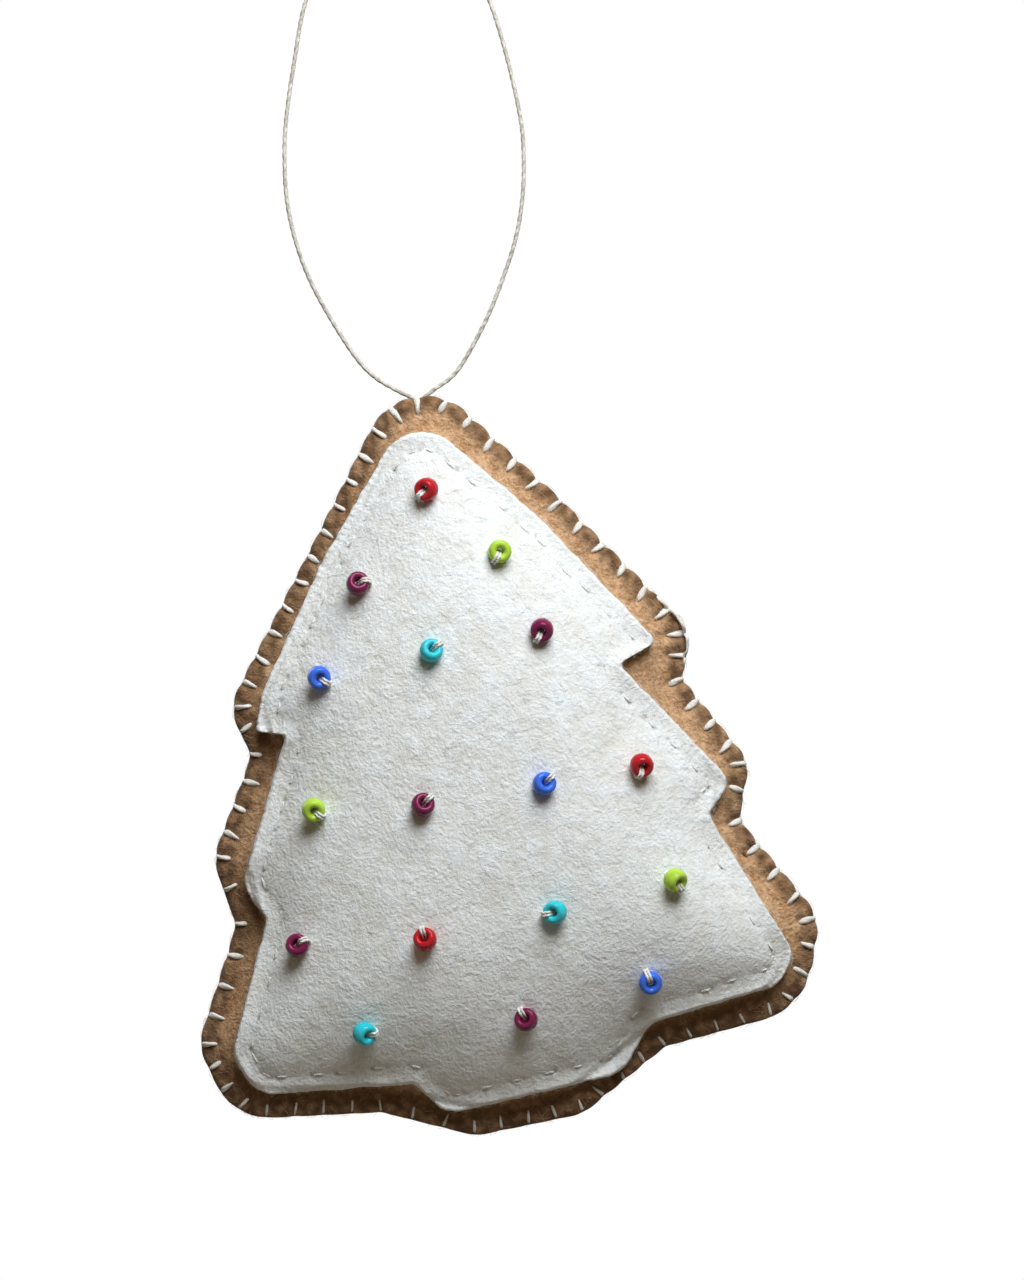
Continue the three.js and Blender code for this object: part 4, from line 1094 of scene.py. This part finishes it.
class StageOperator(bpy.types.Operator):
    """Make the camera, the lamps, the light all round and the floor"""

    bl_idname = "felt_tree.stage"
    bl_label = "Stage"

    def execute(self, context):
        stage = context.scene.felt_tree.stage
        context.scene.view_settings.view_transform = "Standard"
        self.add_camera(context, stage)
        middle = Vector((stage.view_x, 0, stage.view_z - LAMP_AIM_DROP))
        self.add_lamp(context, "key_lamp", middle, *KEY_LAMP, stage.key_power)
        self.add_lamp(context, "rear_lamp", middle, *REAR_LAMP, stage.rear_power)
        self.add_sky(context, stage)
        self.add_floor(context, stage)
        return {"FINISHED"}

    def add_camera(self, context, stage):
        lens = bpy.data.cameras.new("camera")
        lens.sensor_width = 36.0
        lens.lens = lens.sensor_width * stage.camera_distance / stage.view_height
        lens.clip_start, lens.clip_end = 0.01, 20.0
        camera = bpy.data.objects.new("camera", lens)
        camera.location = (stage.view_x, -stage.camera_distance, stage.view_z)
        camera.rotation_euler = (math.pi / 2, 0, 0)
        context.scene.collection.objects.link(camera)
        context.scene.camera = camera

    def add_lamp(self, context, name, target, way, distance, size, power):
        light = bpy.data.lights.new(name, "AREA")
        light.size = size
        light.energy = power
        light.color = LAMP_COLOUR
        lamp = bpy.data.objects.new(name, light)
        way = Vector(way).normalized()
        lamp.location = target + way * distance
        lamp.rotation_euler = way.to_track_quat("Z", "Y").to_euler()
        context.scene.collection.objects.link(lamp)

    def add_sky(self, context, stage):
        world = bpy.data.worlds.new("soft_sky")
        world.use_nodes = True
        tree = world.node_tree
        tree.nodes.clear()
        where = node(tree, "ShaderNodeTexCoord").outputs["Generated"]
        upward = node(tree, "ShaderNodeSeparateXYZ", where).outputs["Z"]
        level = node(tree, "ShaderNodeMapRange", upward, From_Min=-1.0)
        tones = node(tree, "ShaderNodeValToRGB", level.outputs[0])
        tones.color_ramp.elements[0].color = SKY_BELOW
        tones.color_ramp.elements[1].color = SKY_ABOVE
        tones.color_ramp.elements.new(0.5).color = SKY_LEVEL
        light = node(tree, "ShaderNodeBackground", tones.outputs[0], stage.sky)
        seen = node(tree, "ShaderNodeBackground", WHITE, 1.0)
        mix = node(tree, "ShaderNodeMixShader", seen_by_eye(tree), light.outputs[0], seen.outputs[0])
        node(tree, "ShaderNodeOutputWorld", mix.outputs[0])
        context.scene.world = world

    def add_floor(self, context, stage):
        ways = ((-1, -1), (1, -1), (1, 1), (-1, 1))
        corners = [(x * FLOOR_HALF, y * FLOOR_HALF, -stage.floor_drop) for x, y in ways]
        mesh = bpy.data.meshes.new("floor")
        mesh.from_pydata(corners, [], [(0, 1, 2, 3)])
        floor = bpy.data.objects.new("floor", mesh)
        context.scene.collection.objects.link(floor)
        material, tree, shader, where = new_material(
            "pale_floor", Base_Color=FLOOR_TONE, Roughness=0.9, Specular_IOR_Level=0.1
        )
        clear = node(tree, "ShaderNodeEmission", WHITE, 1.0)
        flat = vector_node(tree, "MULTIPLY", where, (1, 1, 0))
        far = node(tree, "ShaderNodeVectorMath", flat, operation="LENGTH").outputs["Value"]
        near_end, far_end = FLOOR_FADE
        fade = node(
            tree, "ShaderNodeMapRange", far, interpolation_type="SMOOTHSTEP",
            From_Min=near_end, From_Max=far_end,
        )
        shown = math_node(tree, "MULTIPLY", fade.outputs[0], seen_by_eye(tree))
        mix = node(tree, "ShaderNodeMixShader", shown, shader.outputs[0], clear.outputs[0])
        feed(tree, tree.nodes["Material Output"].inputs["Surface"], mix.outputs[0])
        mesh.materials.append(material)


def seen_by_eye(tree):
    """1 for rays from the camera, in reflections and through glass."""
    path = node(tree, "ShaderNodeLightPath")
    seen = math_node(tree, "MAXIMUM", path.outputs["Is Camera Ray"], path.outputs["Is Glossy Ray"])
    return math_node(tree, "MAXIMUM", seen, path.outputs["Is Transmission Ray"])


class CordOperator(bpy.types.Operator):
    """Make the hanging cord and the knot that keeps its ends in the tree"""

    bl_idname = "felt_tree.cord"
    bl_label = "Cord and knot"

    def execute(self, context):
        cord = context.scene.felt_tree.cord
        material = cord_material(cord)
        path = smooth_path([np.array((x, 0, z)) for x, z in CORD_ROUTE], THREAD_STEP)
        mesh = thread_mesh("hanging_loop", [path], cord.diameter, CORD_TWIST, material)
        loop = new_piece("hanging_loop", mesh, material, CORD_BODY, "cord", "hanging_cord")
        self.add_knot(cord, material)
        return {"FINISHED"}

    def add_knot(self, cord, material):
        """Each strand down into the tree and once round across the other."""
        half, wide = cord.strand_spacing / 2, cord.knot_width / 2
        paths = []
        for side in (1, -1):
            depths = np.linspace(cord.diameter, cord.knot_depth - KNOT_ENTRY, 8)
            strand = [(side * half, 0, -depth) for depth in depths]
            for t in np.linspace(0, 2 * math.pi, 14):
                across = side * (half + (wide - half) * 0.4) * math.cos(t)
                strand.append((across, side * KNOT_OFFSET, -cord.knot_depth - KNOT_RISE * math.sin(t)))
            paths.append(smooth_path(to_row(strand), THREAD_STEP))
        mesh = thread_mesh("cord_knot_tied", paths, cord.diameter, CORD_TWIST, material)
        new_piece("cord_knot_tied", mesh, material, TREE_BODY, "cord", "cord_knot")


class PanelsOperator(bpy.types.Operator):
    """Make the two brown panels, puffed between the blanket stitches"""

    bl_idname = "felt_tree.panels"
    bl_label = "Brown panels"

    def execute(self, context):
        settings = context.scene.felt_tree
        form = tree_form(settings)
        felt = settings.felt
        material = felt_material("brown_felt_finish", felt.brown_dark, felt.brown, 0.33, BROWN_MOTTLE)
        bulge = edge_bulge(form)
        front = HIDDEN_FACE + FELT_RIM + NEAR_EDGE + UNDER_ICING
        back = HIDDEN_FACE + FELT_RIM + NEAR_EDGE + inner_rings(24)
        for name, stations, bottom, top, face in (
            ("front_panel", front, form.front_inner, form.front_outer, -1),
            ("back_panel", back, form.back_inner, form.back_outer, 1),
        ):
            # The rolled edge gets painted shade, widest and darkest on the slack side away from the key lamp.
            mesh = panel_mesh(name, form.tree, stations, bottom, top, face, bulge, form.pressed_edge)
            piece = new_piece(name, mesh, material, TREE_BODY, "brown_felt", name.replace("panel", "felt"))
        return {"FINISHED"}


class IcingOperator(bpy.types.Operator):
    """Make the white panel, drawn down along its running stitch and under the beads"""

    bl_idname = "felt_tree.icing"
    bl_label = "White panel"

    def execute(self, context):
        settings = context.scene.felt_tree
        form = tree_form(settings)
        felt = settings.felt
        material = felt_material("white_felt_finish", felt.white_dark, felt.white, 0.28, WHITE_MOTTLE)
        stations = HIDDEN_FACE + CUT_RIM + ICING_NEAR_EDGE + inner_rings(30)
        cut = sum(depth * wobble(form.icing.points, size, seed) for depth, size, seed in CUT_WAVES)
        # The needle holes of the running stitch get painted shade.
        mesh = panel_mesh(
            "icing_panel", form.icing, stations, form.icing_bottom, form.icing_top, -1, cut, form.needle_holes
        )
        piece = new_piece("icing_panel", mesh, material, TREE_BODY, "white_felt", "icing_felt")
        return {"FINISHED"}


class FillingOperator(bpy.types.Operator):
    """Make the lumpy fibre filling"""

    bl_idname = "felt_tree.filling"
    bl_label = "Filling"

    def execute(self, context):
        settings = context.scene.felt_tree
        form = tree_form(settings)
        felt = settings.felt
        material = grained_material(
            "loose_fibre", shade(felt.white, 0.85), felt.white, 700.0, 0.6, Roughness=0.95
        )
        rim = form.step_in(form.tree.points[::6] - form.tree.out[::6] * STEP_OFF_EDGE, FILLING_MARGIN)
        rings = [LOFT_CENTRE + (rim - LOFT_CENTRE) * share for share in FILLING_RINGS]
        flat = np.concatenate([LOFT_CENTRE[None], *rings])
        lumps = FILLING_LUMP[0] * wobble(flat, FILLING_LUMP[1], 21.0)
        sides = []
        for face, crown, room in (
            (-1, felt.front_crown, FILLING_ROOM_FRONT), (1, felt.back_crown, FILLING_ROOM_BACK)
        ):
            heights = np.maximum(form.swell(flat, crown) - room + lumps, FILLING_LEAST)
            sides.append(at_height(flat, heights, face))
        mesh = closed_mesh("stuffing", to_row(np.vstack(sides)), self.faces(len(rim)))
        piece = new_piece("stuffing", mesh, material, TREE_BODY, "filling", "filling")
        return {"FINISHED"}

    def faces(self, count):
        """Both sides from the middle out, ring by ring, and the band that joins them."""
        last = 1 + (len(FILLING_RINGS) - 1) * count
        size = last + count
        faces = []
        for base in (0, size):
            for j in range(count):
                following = (j + 1) % count
                faces.append((base, base + 1 + j, base + 1 + following))
                for k in range(len(FILLING_RINGS) - 1):
                    here = base + 1 + k * count
                    faces.append((here + j, here + count + j, here + count + following, here + following))
        for j in range(count):
            following = (j + 1) % count
            faces.append((last + j, size + last + j, size + last + following, last + following))
        return faces


class EdgeStitchOperator(bpy.types.Operator):
    """Sew the blanket stitch round the edge as one unbroken thread"""

    bl_idname = "felt_tree.edge_stitches"
    bl_label = "Blanket stitch"

    def execute(self, context):
        settings = context.scene.felt_tree
        form = tree_form(settings)
        material = thread_material("cream_thread_finish", settings.stitch.cream)
        route = np.array(self.route(form))
        path = smooth_path(np.column_stack([to_row(route[:, :3]), route[:, 3]]), THREAD_STEP)
        mesh = thread_mesh("blanket_stitch", [path], settings.stitch.edge_thread, EDGE_TWIST, material)
        new_piece("blanket_stitch", mesh, material, TREE_BODY, "cream_thread", "edge_thread")
        return {"FINISHED"}

    def route(self, form):
        """Over the front, through both panels, back over the edge and on along the seam."""
        width = form.stitch.edge_thread
        gaps = np.diff(np.append(form.places, form.places[0] + form.tree.length))
        route = []
        for rim, bite, place, gap, thick, firm in zip(
            form.rims, form.bites, form.places, gaps, form.thick, form.firm
        ):
            bar = rim + (bite - rim) * BAR_SHARES[:, None]
            front, back = form.front_outer(bar), form.back_outer(bar)
            lift = thick * width * np.array((0.2 * firm - 0.1, 0.28, 0.34, 0.28, 0.05))
            edge = rim + form.tree.outward(place) * width * (1.6 * thick - 1.7)
            route.append((edge[0], -front[0] * 0.5, edge[1], thick))
            route += np.column_stack([at_height(bar, front + lift, -1), thick * BAR_TAPER]).tolist()
            route.append((bite[0], -front[-1] * 0.55, bite[1], SEAM_THIN))
            route.append((bite[0], back[-1] * 0.55, bite[1], SEAM_THIN))
            route += np.column_stack([at_height(bar, back + lift, 1), thick * BAR_TAPER])[::-1].tolist()
            route.append((edge[0], back[0] * 0.5, edge[1], thick))
            for share in SEAM_SHARES:
                here = place + gap * share
                at = form.tree.at(here)
                loose = math.exp(-(np.hypot(*(at - LOOSE_THREAD)) / LOOSE_REACH) ** 4)
                at = at - form.tree.outward(here) * SEAM_INSET * (1 - loose)
                route.append((at[0], -LOOSE_DROP * loose, at[1], SEAM_THIN))
        return route[:-2]


class RunStitchOperator(bpy.types.Operator):
    """Sew the running stitch of the white panel"""

    bl_idname = "felt_tree.running_stitches"
    bl_label = "Running stitch"

    def execute(self, context):
        settings = context.scene.felt_tree
        form = tree_form(settings)
        material = thread_material("white_thread_finish", settings.stitch.white)
        width = settings.stitch.run_thread
        rng = np.random.RandomState(SEED + 2)
        paths = []
        for start, end in zip(form.dash_starts, form.dash_ends):
            shown = rng.uniform(-0.4, 0.25)
            lift = width * np.array((-2.2, -0.6, shown, shown, -0.6, -2.2))
            along = start + (end - start) * DASH_SHARES[:, None]
            heights = form.icing_top(along)
            heights[1:-1] = heights[2:4].mean()
            paths.append(smooth_path(to_row(at_height(along, heights + lift, -1)), THREAD_STEP))
        mesh = thread_mesh("running_stitch", paths, width, RUN_TWIST, material)
        new_piece("running_stitch", mesh, material, TREE_BODY, "white_thread")
        return {"FINISHED"}


class BeadsOperator(bpy.types.Operator):
    """Make the glass beads where the frame has them, and the doubled thread that sews them on"""

    bl_idname = "felt_tree.beads"
    bl_label = "Beads"

    def execute(self, context):
        settings = context.scene.felt_tree
        form = tree_form(settings)
        bead = settings.bead
        thread = bpy.data.materials["white_thread_finish"]
        glass = {tone: glass_material(tone + "_glass", getattr(bead, tone)) for tone in BEAD_TONES}
        paths = []
        for seat in form.beads:
            tone = seat["node"].split("_")[-1]
            mesh = self.bead_mesh(seat, bead)
            name = seat["node"] + "_glass"
            new_piece(name, mesh, glass[tone], TREE_BODY, "glass_" + tone, seat["node"])
            paths += self.strands(form, seat, bead)
        mesh = thread_mesh("bead_sewing", paths, bead.thread, BEAD_TWIST, thread)
        new_piece("bead_sewing", mesh, thread, TREE_BODY, "white_thread", "bead_thread")
        return {"FINISHED"}

    def bead_mesh(self, seat, bead, around=40, section=22, squareness=2.3):
        """A ring with a rounded, nearly square section."""
        axis = seat["axis"]
        across = np.cross(axis, (0.3, 0.2, 0.9))
        across /= np.linalg.norm(across)
        other = np.cross(axis, across)
        wall = (bead.diameter - bead.hole) / 4
        middle = (bead.diameter + bead.hole) / 4
        vertices, faces = [], []
        for i in range(around):
            turn = 2 * math.pi * i / around
            out = across * math.cos(turn) + other * math.sin(turn)
            for k in range(section):
                t = 2 * math.pi * k / section
                wide = math.copysign(abs(math.cos(t)) ** (2 / squareness), math.cos(t))
                tall = math.copysign(abs(math.sin(t)) ** (2 / squareness), math.sin(t))
                vertices.append(seat["centre"] + out * (middle + wall * wide) + axis * tall * bead.height / 2)
                ahead, up = (i + 1) % around, (k + 1) % section
                faces.append((i * section + k, ahead * section + k, ahead * section + up, i * section + up))
        return closed_mesh(seat["node"] + "_glass", to_row(np.array(vertices)), faces)

    def strands(self, form, seat, bead):
        """Two strands up the hole, over the rim and down into the felt."""
        axis, centre = seat["axis"], seat["centre"]
        rim = seat["side"] - axis * (seat["side"] @ axis)
        rim /= np.linalg.norm(rim)
        beside = np.cross(axis, rim)
        wall = (bead.diameter - bead.hole) / 4 + bead.thread * 0.35
        tall = bead.height / 2 + bead.thread * 0.35
        middle = centre + rim * (bead.diameter + bead.hole) / 4
        paths = []
        for side in (-1, 1):
            shift = beside * side * bead.thread * 0.52
            path = [centre - axis * bead.height, centre - axis * bead.height * 0.3]
            for t in np.radians((160, 130, 100, 70, 40, 10, -20)):
                path.append(middle + rim * wall * math.cos(t) + axis * tall * math.sin(t))
            foot = path[-1] + seat["side"] * bead.thread * 0.1
            surface = -form.icing_top(foot[[0, 2]][None])[0]
            path.append(np.array((foot[0], surface + bead.thread * 0.2, foot[2])))
            path.append(np.array((foot[0], surface + bead.thread * 3, foot[2])))
            paths.append(smooth_path(to_row(np.array(path) + shift), THREAD_STEP / 2))
        return paths


class FuzzOperator(bpy.types.Operator):
    """Grow the loose fibres on the felt"""

    bl_idname = "felt_tree.fuzz"
    bl_label = "Fuzz"

    def execute(self, context):
        felt = context.scene.felt_tree.felt
        tree = shared_tree("felt_fuzz", fuzz_tree)
        brown = fibre_material("brown_fibre", felt.brown)
        white = fibre_material("white_fibre", felt.white)
        for source, tone, slot, density, seed in (
            ("front_panel", brown, "brown_felt", 0.7e6, 3),
            ("back_panel", brown, "brown_felt", 0.8e6, 4),
            ("icing_panel", white, "white_felt", 0.9e6, 5),
        ):
            name = source.replace("panel", "fuzz")
            mesh = from_tree(
                name, bpy.data.objects[source].data.copy(), tree, Density=density, Length=felt.fuzz_length,
                Radius=felt.fuzz_radius, Spread=1.0, Seed=seed, Material=tone,
            )
            new_piece(name, mesh, tone, TREE_BODY, slot)
        return {"FINISHED"}


class OrnamentPanel(bpy.types.Panel):
    """The steps that make the ornament, and its sizes and colours"""

    bl_label = "Felt Tree"
    bl_idname = "VIEW3D_PT_felt_tree"
    bl_space_type = "VIEW_3D"
    bl_region_type = "UI"
    bl_category = "Felt Tree"

    def draw(self, context):
        settings = context.scene.felt_tree
        for step in STEPS:
            self.layout.operator(step.bl_idname)
        for group in (settings.felt, settings.stitch, settings.bead, settings.cord, settings.stage):
            box = self.layout.box()
            for name in group.__annotations__:
                box.prop(group, name)


STEPS = (
    StageOperator, CordOperator, PanelsOperator, IcingOperator, FillingOperator, EdgeStitchOperator,
    RunStitchOperator, BeadsOperator, FuzzOperator,
)
CLASSES = (
    FeltSettings, StitchSettings, BeadSettings, CordSettings, StageSettings, OrnamentSettings, *STEPS,
    OrnamentPanel,
)


def register():
    for each in CLASSES:
        bpy.utils.register_class(each)
    bpy.types.Scene.felt_tree = bpy.props.PointerProperty(type=OrnamentSettings)


def unregister():
    del bpy.types.Scene.felt_tree
    for each in reversed(CLASSES):
        bpy.utils.unregister_class(each)


def main():
    register()
    bpy.ops.felt_tree.stage()
    bpy.ops.felt_tree.cord()
    bpy.ops.felt_tree.panels()
    bpy.ops.felt_tree.icing()
    bpy.ops.felt_tree.filling()
    bpy.ops.felt_tree.edge_stitches()
    bpy.ops.felt_tree.running_stitches()
    bpy.ops.felt_tree.beads()
    bpy.ops.felt_tree.fuzz()


if __name__ == "__main__":
    main()
